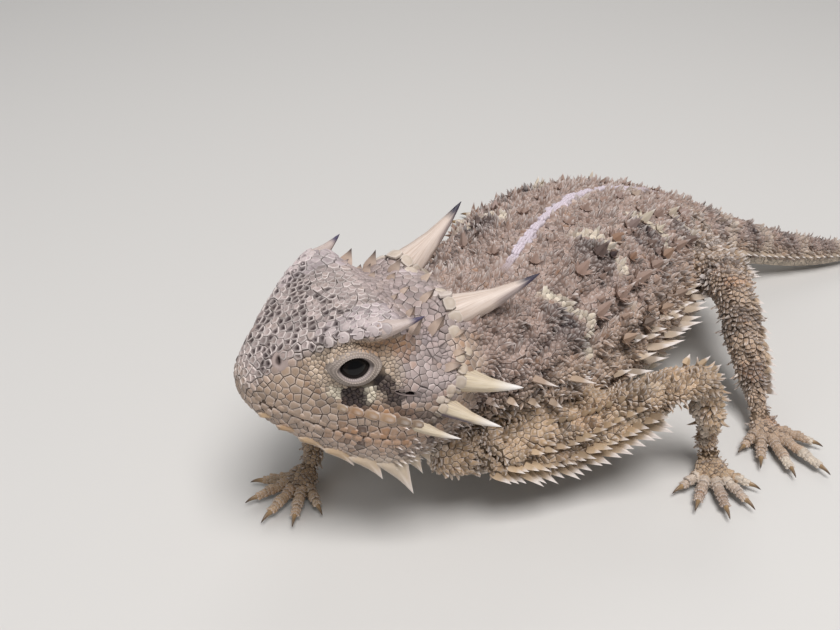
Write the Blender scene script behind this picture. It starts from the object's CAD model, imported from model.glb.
import math

import bmesh
import bpy
import numpy as np
from mathutils import Matrix, Vector
from mathutils.bvhtree import BVHTree
from mathutils.kdtree import KDTree


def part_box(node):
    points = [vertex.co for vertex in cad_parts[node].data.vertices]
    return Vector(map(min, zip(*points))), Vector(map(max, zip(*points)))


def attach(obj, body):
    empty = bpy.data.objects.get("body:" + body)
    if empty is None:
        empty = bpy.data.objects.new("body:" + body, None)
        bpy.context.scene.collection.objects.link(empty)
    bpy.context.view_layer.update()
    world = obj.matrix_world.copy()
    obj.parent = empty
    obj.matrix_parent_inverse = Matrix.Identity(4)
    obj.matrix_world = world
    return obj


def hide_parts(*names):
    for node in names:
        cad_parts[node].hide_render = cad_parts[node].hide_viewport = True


# The looks of a horned lizard at life size. The body's own sizes are in millimetres, in the frame
# that the solids were laid out in, and SHIFT carries them to where the solids stand.

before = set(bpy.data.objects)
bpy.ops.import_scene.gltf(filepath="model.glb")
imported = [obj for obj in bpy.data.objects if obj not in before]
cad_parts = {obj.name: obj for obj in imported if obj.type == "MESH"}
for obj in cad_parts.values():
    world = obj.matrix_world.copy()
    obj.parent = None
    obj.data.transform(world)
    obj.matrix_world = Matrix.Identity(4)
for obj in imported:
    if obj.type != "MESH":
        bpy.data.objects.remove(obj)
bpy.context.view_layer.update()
MM = 0.001
RNG = np.random.default_rng(23)

# ---- The body's sizes, as in the solids
TORSO_LENGTH, TORSO_FRONT, TAIL_LENGTH = 52.8, 7.0, 33.0
HALF_WIDTH = ((0.0, 8.4), (4.0, 10.3), (10.0, 12.6), (20.0, 14.8), (27.0, 15.0), (40.0, 12.9),
              (48.0, 9.2), (52.8, 6.6), (57.0, 4.4), (64.0, 3.0), (74.0, 1.9), (85.8, 0.55))
BACK_HEIGHT = ((0.0, 20.3), (4.0, 21.2), (10.0, 22.2), (18.0, 22.4), (27.0, 21.5), (40.0, 17.9),
               (48.0, 14.6), (52.8, 12.4), (60.0, 9.0), (70.0, 5.4), (85.8, 1.5))
FRINGE_HEIGHT = ((0.0, 12.6), (6.0, 10.6), (14.0, 9.3), (40.0, 8.6), (52.8, 7.0), (60.0, 5.2),
                 (70.0, 3.0), (85.8, 0.9))
BELLY_HEIGHT = ((0.0, 5.2), (5.0, 3.6), (14.0, 2.2), (40.0, 2.0), (52.8, 3.2), (60.0, 2.2),
                (70.0, 0.4), (76.0, -0.2), (85.8, -0.2))
HEADING = ((0.0, 15.2), (10.0, 13.2), (20.0, 8.4), (26.4, 3.8), (40.0, -9.9), (52.8, -27.6),
           (60.0, -42.0), (70.0, -42.0), (85.8, -30.0))
SNOUT = np.array((-21.8, 12.75, 19.6))
HEAD_YAW, HEAD_PITCH, HEAD_LENGTH, HEAD_SCALE, SNOUT_TIP = -22.9, -7.5, 20.5, 1.026, 1.4
CROWN_HEIGHT = ((1.4, -0.1), (2.0, 1.2), (3.3, 2.9), (5.6, 4.8), (8.5, 6.5), (12.0, 7.3),
                (15.5, 6.7), (18.0, 6.9), (20.5, 6.3))
BROW_WIDTH = ((1.4, 0.9), (2.0, 1.7), (3.3, 2.8), (5.6, 4.5), (8.5, 6.6), (11.0, 7.9),
              (12.5, 7.9), (14.2, 6.9), (16.0, 6.5), (18.0, 6.9), (20.5, 6.6))
BROW_HEIGHT = ((1.4, -0.3), (2.0, 0.8), (3.3, 2.5), (5.6, 4.5), (8.5, 6.4), (11.0, 7.3),
               (12.5, 7.2), (14.2, 5.9), (16.0, 5.2), (18.0, 5.9), (20.5, 5.6))
TEMPLE_WIDTH = ((1.4, 1.2), (2.0, 2.1), (3.3, 3.2), (5.6, 4.7), (8.5, 5.9), (11.5, 7.0),
                (14.0, 7.6), (17.0, 8.2), (20.5, 7.7))
CHEEK_WIDTH = ((1.4, 1.4), (2.0, 2.5), (3.3, 3.8), (5.6, 5.4), (8.5, 7.3), (12.0, 9.0),
               (15.0, 10.0), (18.0, 10.3), (20.5, 9.5))
CHEEK_HEIGHT = ((1.4, -0.8), (3.3, -0.2), (8.5, 0.5), (15.0, 1.0), (20.5, 1.6))
MOUTH_HEIGHT = ((1.4, -1.4), (3.3, -2.0), (5.6, -2.8), (8.5, -3.5), (12.0, -4.0), (15.0, -3.8),
                (20.5, -3.0))
JAW_WIDTH = ((1.4, 1.0), (2.0, 1.9), (3.3, 3.1), (5.6, 4.7), (8.5, 6.5), (12.0, 8.3),
             (14.0, 9.0), (17.0, 8.3), (20.5, 7.4))
JAW_HEIGHT = ((1.4, -2.1), (2.0, -2.9), (3.3, -3.9), (5.6, -5.3), (8.5, -6.6), (12.0, -7.6),
              (14.0, -7.8), (17.0, -7.4), (20.5, -6.8))
THROAT_HEIGHT = ((1.4, -2.3), (2.0, -3.3), (3.3, -4.5), (5.6, -6.0), (8.5, -7.4), (12.0, -8.5),
                 (16.0, -8.9), (20.5, -8.6))
EYE_PLACE, EYE_RADIUS = (9.2, 5.75, 2.9), 1.6
LID_MOUND = (2.5, 2.45, 2.2)
NOSTRIL_PLACE, EAR_PLACE = (3.4, 3.1, 2.6), (12.9, 9.2, 1.15)
HORNS = {
    "horn_occipital": ((19.3, 4.5, 5.3), (26.9, 7.0, 10.1), 1.8),
    "horn_temporal_1": ((18.2, 9.0, 1.5), (22.9, 12.5, 1.5), 1.35),
    "horn_temporal_2": ((16.6, 9.4, -0.7), (20.8, 13.1, -1.8), 1.05),
    "horn_temporal_3": ((14.2, 9.2, -2.4), (17.8, 11.6, -3.4), 0.7),
    "horn_brow": ((11.0, 6.9, 6.5), (14.3, 8.4, 8.0), 0.95),
}
HORN_TILT = 0.6
ARM_LEFT = (((-8.0, -1.4, 8.4), 2.1), ((-2.6, -4.8, 7.8), 3.2), ((4.0, -8.8, 7.2), 3.4),
            ((9.0, -13.2, 9.6), 2.8), ((13.4, -17.2, 12.0), 2.15), ((15.4, -18.6, 7.4), 2.0),
            ((16.4, -19.0, 2.7), 1.35))
ARM_RIGHT = (((-1.0, 8.0, 8.2), 2.2), ((1.8, 9.6, 7.6), 2.9), ((3.4, 12.4, 7.4), 2.9),
             ((1.8, 16.2, 8.0), 2.5), ((-1.6, 19.4, 7.8), 1.9), ((-6.8, 17.0, 4.7), 1.6),
             ((-11.2, 13.4, 2.4), 1.2))
LEG_LEFT = (((47.0, 0.5, 8.0), 4.2), ((42.5, -4.5, 9.0), 3.9), ((37.8, -9.6, 10.8), 3.3),
            ((33.8, -13.0, 11.4), 2.5), ((29.4, -17.6, 6.6), 2.1), ((26.6, -20.6, 2.5), 1.3))
LEG_RIGHT = (((48.5, 2.5, 8.0), 4.2), ((48.0, 8.4, 8.6), 3.9), ((45.4, 14.4, 9.6), 3.3),
             ((42.4, 19.6, 9.6), 2.5), ((46.6, 24.4, 6.0), 2.1), ((50.0, 27.6, 2.5), 1.3))
FINGERS = ((-58, 3.4, 0.55), (-28, 4.6, 0.58), (0, 5.2, 0.6), (26, 4.6, 0.58), (58, 3.2, 0.55))
TOES = ((-60, 3.2, 0.58), (-32, 4.8, 0.6), (-6, 6.2, 0.62), (18, 7.2, 0.64), (48, 4.4, 0.58))
CLAW_LENGTH = 1.3
LIMBS = {"arm_left": (ARM_LEFT, (-0.75, -0.65), FINGERS), "arm_right": (ARM_RIGHT, (-0.93, -0.1), FINGERS),
         "leg_left": (LEG_LEFT, (-0.6, -0.8), TOES), "leg_right": (LEG_RIGHT, (-0.2, 0.95), TOES)}

COLLARED = ("horn_occipital", "horn_temporal_1", "horn_temporal_2")
STRIPE = (5.5, 50.0)

# ---- The coat
INSET = 0.22
VOXEL = 0.33
PATCH = 0.0015
SPACING = dict(crown=0.72, snout=0.68, cheek=0.80, temple=0.64, lid=0.38, brow=0.78, throat=0.60,
               neck=0.50, back=0.58, flank=0.55, belly=0.70, tail=0.56, limb=0.56, toe=0.46)


def along(profile, at):
    """The smooth curve through (place, value) pairs, read at one place or many."""
    places = np.array([p for p, _ in profile], float)
    values = np.array([v for _, v in profile], float)
    steps = np.diff(values) / np.diff(places)
    slopes = np.concatenate([[steps[0]], (steps[1:] + steps[:-1]) / 2, [steps[-1]]])
    at = np.clip(np.asarray(at, float), places[0], places[-1])
    i = np.clip(np.searchsorted(places, at, side="right") - 1, 0, len(places) - 2)
    width = places[i + 1] - places[i]
    t = (at - places[i]) / width
    return (values[i] * (1 + 2 * t) * (1 - t) ** 2 + slopes[i] * width * t * (1 - t) ** 2
            + values[i + 1] * t * t * (3 - 2 * t) + slopes[i + 1] * width * t * t * (t - 1))


def unit(vector):
    vector = np.asarray(vector, float)
    return vector / np.maximum(np.linalg.norm(vector, axis=-1, keepdims=True), 1e-12)


def smooth_step(low, high, value):
    t = np.clip((np.asarray(value, float) - low) / (high - low), 0, 1)
    return t * t * (3 - 2 * t)


def bump_at(value, middle, half, soft):
    """One inside the band round middle, falling to zero over soft."""
    return 1 - smooth_step(half, half + soft, np.abs(np.asarray(value, float) - middle))


STEP = 0.1
SPINE_AT = np.arange(0.0, TORSO_LENGTH + TAIL_LENGTH + STEP, STEP)
SPINE_TURN = np.radians(along(HEADING, SPINE_AT))
SPINE_XY = np.stack([np.concatenate([[0.0], np.cumsum(f(SPINE_TURN))[:-1] * STEP])
                     for f in (np.cos, np.sin)], axis=1)


def spine(at):
    x = np.interp(at, SPINE_AT, SPINE_XY[:, 0])
    y = np.interp(at, SPINE_AT, SPINE_XY[:, 1])
    turn = np.interp(at, SPINE_AT, SPINE_TURN)
    return np.array([x, y]), np.array([math.sin(turn), -math.cos(turn)])


def body_point(at, angle, grow=0.0):
    """A point of the body's surface: angle 0 is its left edge, a quarter turn up is the back."""
    place, left = spine(at)
    across, up = math.cos(angle), math.sin(angle)
    edge = float(along(FRINGE_HEIGHT, at))
    reach = float(along(BACK_HEIGHT, at)) - edge if up >= 0 else edge - float(along(BELLY_HEIGHT, at))
    flat = 1.0 if up >= 0 else 0.75
    side = (float(along(HALF_WIDTH, at)) + grow) * math.copysign(abs(across) ** flat, across)
    high = edge + (reach + grow) * math.copysign(abs(up) ** flat, up)
    return np.array([*(place + left * side), max(high, -grow)])


def body_ring(at, sides, grow=0.0):
    return [body_point(at, 2 * math.pi * (k + 0.5) / sides, grow) for k in range(sides)]


BACKWARD = np.array([math.cos(math.radians(HEAD_YAW)) * math.cos(math.radians(HEAD_PITCH)),
                     math.sin(math.radians(HEAD_YAW)) * math.cos(math.radians(HEAD_PITCH)),
                     math.sin(math.radians(HEAD_PITCH))])
LEFTWARD = np.array([math.sin(math.radians(HEAD_YAW)), -math.cos(math.radians(HEAD_YAW)), 0.0])
UPWARD = np.cross(-BACKWARD, LEFTWARD)


def head_point(x, y, z):
    """The head's own frame: x back from the snout, y to the left, z up."""
    return SNOUT + HEAD_SCALE * (BACKWARD * x + LEFTWARD * y + UPWARD * z)


def head_way(x, y, z):
    return unit(BACKWARD * x + LEFTWARD * y + UPWARD * z)


def head_half_section(x):
    crown, brow_y, brow_z = (float(along(p, x)) for p in (CROWN_HEIGHT, BROW_WIDTH, BROW_HEIGHT))
    cheek_y, cheek_z = float(along(CHEEK_WIDTH, x)), float(along(CHEEK_HEIGHT, x))
    mouth_z, jaw_y, jaw_z = (float(along(p, x)) for p in (MOUTH_HEIGHT, JAW_WIDTH, JAW_HEIGHT))
    throat, temple_y = float(along(THROAT_HEIGHT, x)), float(along(TEMPLE_WIDTH, x))
    return [(0.0, crown), (0.5 * brow_y, 0.55 * crown + 0.45 * brow_z), (0.86 * brow_y, brow_z + 0.1),
            (brow_y, brow_z - 0.25), (temple_y, 0.62 * brow_z + 0.38 * cheek_z),
            (0.15 * temple_y + 0.85 * cheek_y, 0.25 * brow_z + 0.75 * cheek_z), (cheek_y, cheek_z),
            (0.7 * cheek_y + 0.3 * jaw_y + 0.15, mouth_z + 0.7), (0.6 * cheek_y + 0.4 * jaw_y, mouth_z),
            (0.45 * cheek_y + 0.55 * jaw_y + 0.1, mouth_z - 0.65),
            (0.15 * cheek_y + 0.85 * jaw_y, 0.4 * mouth_z + 0.6 * jaw_z),
            (0.93 * jaw_y, jaw_z), (0.55 * jaw_y, 0.7 * throat + 0.3 * jaw_z), (0.0, throat)]


def head_ring(x, grow=0.0):
    half = head_half_section(x)
    whole = half + [(-y, z) for y, z in reversed(half[1:-1])]
    middle = np.mean(whole, axis=0)
    ring = []
    for y, z in whole:
        out = np.array([y, z]) - middle
        y, z = np.array([y, z]) + grow * out / max(np.linalg.norm(out), 1e-6)
        ring.append(head_point(x, y, z))
    return ring


def rounded_ring(ring, per_side=3):
    """The ring with extra points on a smooth closed curve through its own."""
    ring = np.array(ring)
    before, after, far = (np.roll(ring, k, axis=0) for k in (1, -1, -2))
    out = []
    for t in np.arange(per_side) / per_side:
        out.append(0.5 * (2 * ring + (after - before) * t + (2 * before - 5 * ring + 4 * after - far) * t ** 2
                          + (3 * ring - before - 3 * after + far) * t ** 3))
    return np.stack(out, axis=1).reshape(-1, 3)


def tube_along(points, radii, sides=10):
    points, radii = np.array(points, float), np.array(radii, float)
    rings = []
    for middle, radius, way in zip(points, radii, np.gradient(points, axis=0)):
        way = unit(way)
        side = unit(np.cross(way, (0.0, 0.0, 1.0)) if abs(way[2]) < 0.95 else np.cross(way, (1.0, 0.0, 0.0)))
        over = np.cross(side, way)
        rings.append([middle + radius * (side * math.cos(a) + over * math.sin(a))
                      for a in (2 * math.pi * k / sides for k in range(sides))])
    return rings


def align_rings(rings):
    done = [np.array(rings[0])]
    for ring in rings[1:]:
        ring = np.array(ring)
        best = min(range(len(ring)), key=lambda k: np.sum((np.roll(ring, k, axis=0) - done[-1]) ** 2))
        done.append(np.roll(ring, best, axis=0))
    return done


def limb_line(joints, steps):
    count = len(joints)
    places = np.linspace(0, count - 1, (count - 1) * steps + 1)
    line = np.stack([along([(i, p[c]) for i, (p, _) in enumerate(joints)], places) for c in range(3)], axis=1)
    return line, along([(i, r) for i, (_, r) in enumerate(joints)], places)


def resample(ring, count):
    ring = np.array(ring, float)
    ring = np.roll(ring, -int(np.argmax(ring[:, 2])), axis=0)
    closed = np.vstack([ring, ring[:1]])
    far = np.concatenate([[0.0], np.cumsum(np.linalg.norm(np.diff(closed, axis=0), axis=1))])
    even = np.linspace(0, far[-1], count + 1)[:-1]
    out = np.stack([np.interp(even, far, closed[:, c]) for c in range(3)], axis=1)
    if np.dot(out[count // 4] - out.mean(axis=0), LEFTWARD) < 0:
        out = np.roll(out[::-1], 1, axis=0)
    return out


def neck_rings(count=44, steps=9, grow=0.0):
    head_end = resample(head_ring(HEAD_LENGTH - 0.4, grow), count)
    body_end = resample(body_ring(TORSO_FRONT + 0.4, 64, grow), count)
    left = spine(TORSO_FRONT)[1]
    ahead = np.array([-left[1], left[0], 0.0])
    far = 0.8 * np.linalg.norm(body_end - head_end, axis=1)[:, None]
    rings = []
    for t in np.linspace(0, 1, steps):
        h = (2 * t ** 3 - 3 * t ** 2 + 1, t ** 3 - 2 * t ** 2 + t, -2 * t ** 3 + 3 * t ** 2, t ** 3 - t ** 2)
        rings.append(head_end * h[0] + BACKWARD * far * h[1] + body_end * h[2] + ahead * far * h[3])
    return rings


low_corner, high_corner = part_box("eye_left")
SHIFT = np.array((low_corner + high_corner) / 2) - head_point(*EYE_PLACE) * MM


def placed(points):
    """Points of the body's own frame, in metres where the solids stand."""
    return np.asarray(points, float) * MM + SHIFT


# ---- Mesh helpers
def deselect():
    for thing in bpy.context.selected_objects:
        thing.select_set(False)


def only(thing):
    deselect()
    thing.select_set(True)
    bpy.context.view_layer.objects.active = thing


def mesh_piece(name, points, faces):
    """A mesh object from points in metres and loops of point numbers."""
    mesh = bpy.data.meshes.new(name)
    mesh.from_pydata([tuple(p) for p in points], [], faces)
    thing = bpy.data.objects.new(name, mesh)
    bpy.context.scene.collection.objects.link(thing)
    return thing


def turned_out(thing):
    """Merges doubles and points every face outwards."""
    form = bmesh.new()
    form.from_mesh(thing.data)
    bmesh.ops.remove_doubles(form, verts=form.verts[:], dist=1e-7)
    bmesh.ops.recalc_face_normals(form, faces=form.faces[:])
    form.to_mesh(thing.data)
    form.free()
    return thing


def loft(name, rings):
    count = len(rings[0])
    points = [p for ring in rings for p in ring]
    faces = []
    for r in range(len(rings) - 1):
        for k in range(count):
            a, b = r * count + k, r * count + (k + 1) % count
            faces.append((a, b, b + count, a + count))
    for first, ring in ((0, rings[0]), ((len(rings) - 1) * count, rings[-1])):
        middle = len(points)
        points.append(np.mean(ring, axis=0))
        faces += [(middle, first + k, first + (k + 1) % count) for k in range(count)]
    return turned_out(mesh_piece(name, placed(points), faces))


def apply_modifiers(thing):
    only(thing)
    for step in list(thing.modifiers):
        bpy.ops.object.modifier_apply(modifier=step.name)


def cut(thing, cutter):
    step = thing.modifiers.new("cut", "BOOLEAN")
    step.operation, step.solver, step.object = "DIFFERENCE", "MANIFOLD", cutter
    apply_modifiers(thing)
    bpy.data.objects.remove(cutter)


def ellipsoid(middle, axes, sizes, segments=48, rings=32):
    deselect()
    bpy.ops.mesh.primitive_uv_sphere_add(segments=segments, ring_count=rings, radius=1.0)
    ball = bpy.context.object
    turn = Matrix([[axes[c][r] * sizes[c] * MM for c in range(3)] for r in range(3)]).to_4x4()
    if turn.determinant() < 0:
        turn = turn @ Matrix.Scale(-1, 4, (0, 1, 0))
    ball.data.transform(Matrix.Translation(Vector(placed(middle))) @ turn)
    return ball


# ---- The skin
def limb_forms(joints, way, digits):
    """A limb with its palm and digits, as closed lofts a little inside the solids."""
    line, radii = limb_line(joints, 8)
    radii = radii - INSET
    rings = align_rings(tube_along(line, radii, 24))
    back = unit(line[0] - line[1])
    middle = line[0]
    start = [middle + (rings[0] - middle) * size + back * radii[0] * reach
             for size, reach in ((0.35, 0.75), (0.65, 0.6), (0.88, 0.35))]
    ankle, approach = line[-1], unit(line[-1] - line[-3])
    heading = unit((way[0], way[1], 0.0))
    side = np.cross((0, 0, 1), heading)
    turns = 2 * math.pi * np.arange(24) / 24
    foot = [np.array(rings[-1]) + approach * 0.5]
    for reach, half_width, top in ((1.2, 1.5, 2.05), (2.4, 1.75, 1.8), (3.4, 1.75, 1.5)):
        centre = np.array([*(ankle + heading * reach)[:2], top / 2])
        foot.append(np.array([centre + side * half_width * math.cos(a)
                              + np.array([0, 0, max(top * 0.5 * math.sin(a), -top / 2 + 0.1)]) for a in turns]))
    forms = [loft("limb", start + rings), loft("palm", align_rings(foot))]
    palm = ankle + heading * 2.4
    for angle, length, radius in digits:
        turn = math.radians(angle)
        out = heading * math.cos(turn) + side * math.sin(turn)
        root = palm + side * math.sin(turn) * 1.0
        across = np.cross((0, 0, 1), out)
        finger = []
        for share in np.linspace(0, 1, 15):
            joint = 1 + 0.12 * math.cos(share * 3 * 2 * math.pi)
            size = radius * (1.06 - 0.36 * share) * joint - 0.03
            high = (1.2 + 0.25 * math.sin(share * math.pi) - 0.5 * share) * joint
            if share > 0.95:
                size, high = size * 0.7, high * 0.75
            centre = np.array([*(root + out * length * share)[:2], 0.0])
            finger.append([centre + across * size * math.cos(a)
                           + np.array([0, 0, high * max(0.5 + 0.5 * math.sin(a), 0.0) * 0.92 + 0.08])
                           for a in 2 * math.pi * np.arange(12) / 12])
        forms.append(loft("digit", finger))
    return forms


def eye_frame(mirror):
    centre = head_point(*(np.array(EYE_PLACE) * (1, mirror, 1)))
    out, up = head_way(-0.22, 0.95 * mirror, 0.22), head_way(0.12, 0.0, 1.0)
    back = unit(np.cross(up, out)) * mirror
    back = back if np.dot(back, BACKWARD) > 0 else -back
    up = unit(np.cross(out, back))
    up = up if up[2] > 0 else -up
    return centre, back, out, up


def make_skin():
    head_at = np.concatenate([[1.45, 1.6, 1.85, 2.2], np.linspace(2.7, HEAD_LENGTH, 44)])
    forms = [loft("head", [rounded_ring(head_ring(x, -INSET)) for x in head_at])]
    forms.append(loft("neck", [rounded_ring(r, 2) for r in neck_rings(grow=-INSET)]))
    body_at = np.concatenate([np.linspace(TORSO_FRONT, 54, 60), np.linspace(54.5, 85.5, 50)])
    forms.append(loft("body", [np.maximum(body_ring(at, 96, -min(INSET, 0.3 * float(along(HALF_WIDTH, at)))),
                                          (-1e9, -1e9, 0.12)) for at in body_at]))
    for joints, way, digits in LIMBS.values():
        forms += limb_forms(joints, way, digits)
    for mirror in (1, -1):
        centre, back, out, up = eye_frame(mirror)
        forms.append(ellipsoid(centre, (back, out, up), [size - 0.12 for size in LID_MOUND]))
        for name, (foot_, tip, radius) in HORNS.items():
            rings = horn_rings(name, mirror, 16, -1.4)[:2]
            forms.append(loft("stub", rings))
    only(forms[0])
    for form in forms:
        form.select_set(True)
    bpy.ops.object.join()
    skin = bpy.context.object
    remesh = skin.modifiers.new("one", "REMESH")
    remesh.mode, remesh.voxel_size, remesh.use_smooth_shade = "VOXEL", VOXEL * MM, True
    apply_modifiers(skin)
    points, _ = skin_arrays(skin)
    soft = np.ones(len(points))
    for joints, _, _ in LIMBS.values():
        far = np.linalg.norm(points[:, :2] - np.array(joints[-1][0])[:2], axis=1)
        soft = np.minimum(soft, np.where((far < 13) & (points[:, 2] < 2.6), 0.12 + 0.5 * (far < 2.6), 1.0))
    group = skin.vertex_groups.new(name="soft")
    for level in np.unique(soft):
        group.add([int(i) for i in np.nonzero(soft == level)[0]], float(level), "REPLACE")
    smooth = skin.modifiers.new("soft", "SMOOTH")
    smooth.factor, smooth.iterations, smooth.vertex_group = 0.5, 5, "soft"
    apply_modifiers(skin)
    return skin


def horn_rings(name, mirror, sides=32, start=None):
    """Rings of a horn from its foot to its tip, in the body's frame."""
    foot_, tip, radius = HORNS[name]
    flip = np.array([1.0, mirror, 1.0])
    tip = np.array(tip) - (0.0, 0.0, HORN_TILT * mirror if name == "horn_occipital" else 0.0)
    begin, end = head_point(*(np.array(foot_) * flip)), head_point(*(tip * flip))
    way = unit(end - begin)
    length = np.linalg.norm(end - begin)
    side = unit(np.cross(way, UPWARD))
    over = np.cross(side, way)
    shares = np.concatenate([[start if start is not None else -0.25], np.linspace(0.02, 0.97, 22), [1.0]])
    rings = []
    for share in shares:
        t = max(share, 0.0)
        size = radius * float(np.interp(t, (0, 0.12, 0.25, 0.5, 0.75, 0.92, 1.0),
                                        (1.05, 0.97, 0.80, 0.54, 0.30, 0.13, 0.015)))
        sag = length * float(np.interp(t, (0, 0.25, 0.5, 0.75, 0.92, 1.0), (0, 0.03, 0.05, 0.035, 0.012, 0)))
        if share < 0:
            size, reach = radius * 0.85, share * radius
        else:
            reach = share * length
        middle = begin + way * reach - over * sag
        a = 2 * math.pi * np.arange(sides) / sides
        rib = 1 + 0.022 * np.sin(a * 7 + 1.3) * (1 - t) + 0.014 * np.sin(a * 13 + 0.4) * (1 - t)
        wave = 1 + 0.018 * math.sin(t * 34) * (1 - t)
        rings.append(middle + size * wave * rib[:, None] * (side * np.cos(a)[:, None]
                                                            + 0.9 * over * np.sin(a)[:, None]))
    return rings


# ---- Where a point of the skin lies on the animal
LIMB_LINES = {name: limb_line(joints, 8) for name, (joints, _, _) in LIMBS.items()}


def head_place(points):
    q = (points - SNOUT) / HEAD_SCALE
    return q @ BACKWARD, q @ LEFTWARD, q @ UPWARD


def head_reach():
    """How far the head's surface stands from its middle line, at stations back and angles round."""
    stations = np.linspace(1.45, HEAD_LENGTH, 40)
    angles = np.linspace(-math.pi / 2, math.pi / 2, 65)
    rows = []
    for x in stations:
        half = np.array(head_half_section(x))
        middle = (half[0, 1] + half[-1, 1]) / 2
        fine = np.stack([np.interp(np.linspace(0, len(half) - 1, 160), range(len(half)), half[:, c]) for c in (0, 1)], axis=1)
        turn = np.arctan2(fine[:, 1] - middle, fine[:, 0])
        order = np.argsort(turn)
        rows.append(np.interp(angles, turn[order], np.hypot(fine[:, 0], fine[:, 1] - middle)[order]))
    return stations, angles, np.array(rows)


HEAD_STATIONS, HEAD_ANGLES, HEAD_REACH = head_reach()


def head_depth(points):
    """Distance from the head's middle line as a part of the surface's, and the distance between the two."""
    x, y, z = head_place(points)
    middle = (along(CROWN_HEIGHT, x) + along(THROAT_HEIGHT, x)) / 2
    far = np.hypot(y, z - middle)
    row = np.clip((x - HEAD_STATIONS[0]) / (HEAD_STATIONS[1] - HEAD_STATIONS[0]), 0, len(HEAD_STATIONS) - 1.001)
    column = (np.arctan2(z - middle, np.abs(y)) - HEAD_ANGLES[0]) / (HEAD_ANGLES[1] - HEAD_ANGLES[0])
    column = np.clip(column, 0, len(HEAD_ANGLES) - 1.001)
    r, c = row.astype(int), column.astype(int)
    dr, dc = row - r, column - c
    reach = (HEAD_REACH[r, c] * (1 - dr) * (1 - dc) + HEAD_REACH[r + 1, c] * dr * (1 - dc)
             + HEAD_REACH[r, c + 1] * (1 - dr) * dc + HEAD_REACH[r + 1, c + 1] * dr * dc)
    return far / reach, np.abs(far - reach)


def body_place(points):
    """Distance from the nape, share across (1 left edge, 0 mid back, beyond 1 below) and depth."""
    at = np.empty(len(points))
    for first in range(0, len(points), 4000):
        part = points[first:first + 4000, None, :2] - SPINE_XY[None, ::3, :]
        at[first:first + 4000] = SPINE_AT[::3][np.argmin(np.sum(part ** 2, axis=2), axis=1)]
    turn = np.interp(at, SPINE_AT, SPINE_TURN)
    xy = np.stack([np.interp(at, SPINE_AT, SPINE_XY[:, c]) for c in (0, 1)], axis=1)
    away = points[:, :2] - xy
    at = np.clip(at + away[:, 0] * np.cos(turn) + away[:, 1] * np.sin(turn), -8, 86)
    across = (away[:, 0] * np.sin(turn) - away[:, 1] * np.cos(turn)) / along(HALF_WIDTH, at)
    edge = along(FRINGE_HEIGHT, at)
    up = points[:, 2] - edge
    up = np.where(up > 0, up / (along(BACK_HEIGHT, at) - edge), up / (edge - along(BELLY_HEIGHT, at)))
    return at, np.arctan2(up, across), np.hypot(across, up)


def across_share(angle):
    """0 at the mid back, 1 at the left edge, -1 at the right, beyond them below."""
    share = (math.pi / 2 - angle) / (math.pi / 2)
    return np.where(share > 2, share - 4, share)


def limb_place(points, name):
    """Share down the limb, turn round it, and distance as a part of the limb's radius."""
    line, radii = LIMB_LINES[name]
    far = np.linalg.norm(points[:, None, :] - line[None], axis=2)
    near = np.argmin(far / np.maximum(radii, 1.0), axis=1)
    away = points - line[near]
    way = unit(np.gradient(line, axis=0))[near]
    side = unit(np.cross(way, (0.02, 0.01, 1.0)))
    over = np.cross(side, way)
    turn = np.arctan2(np.sum(away * over, axis=1), np.sum(away * side, axis=1))
    depth = far[np.arange(len(points)), near] / radii[near]
    return near / (len(line) - 1), turn, depth, way


PAINTS = ("dark", "pale", "gold", "rose", "grey", "white", "orange", "belly")


def patchy(points, size, seed):
    """A soft random field of the given size, from a few waves."""
    rng = np.random.default_rng(seed)
    total = np.zeros(len(points))
    for _ in range(9):
        way = unit(rng.standard_normal(3)) * (2 * math.pi / size) * rng.uniform(0.6, 1.5)
        total += np.sin(points @ way + rng.uniform(0, 6.3))
    return total / 9 * 2.2


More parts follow.
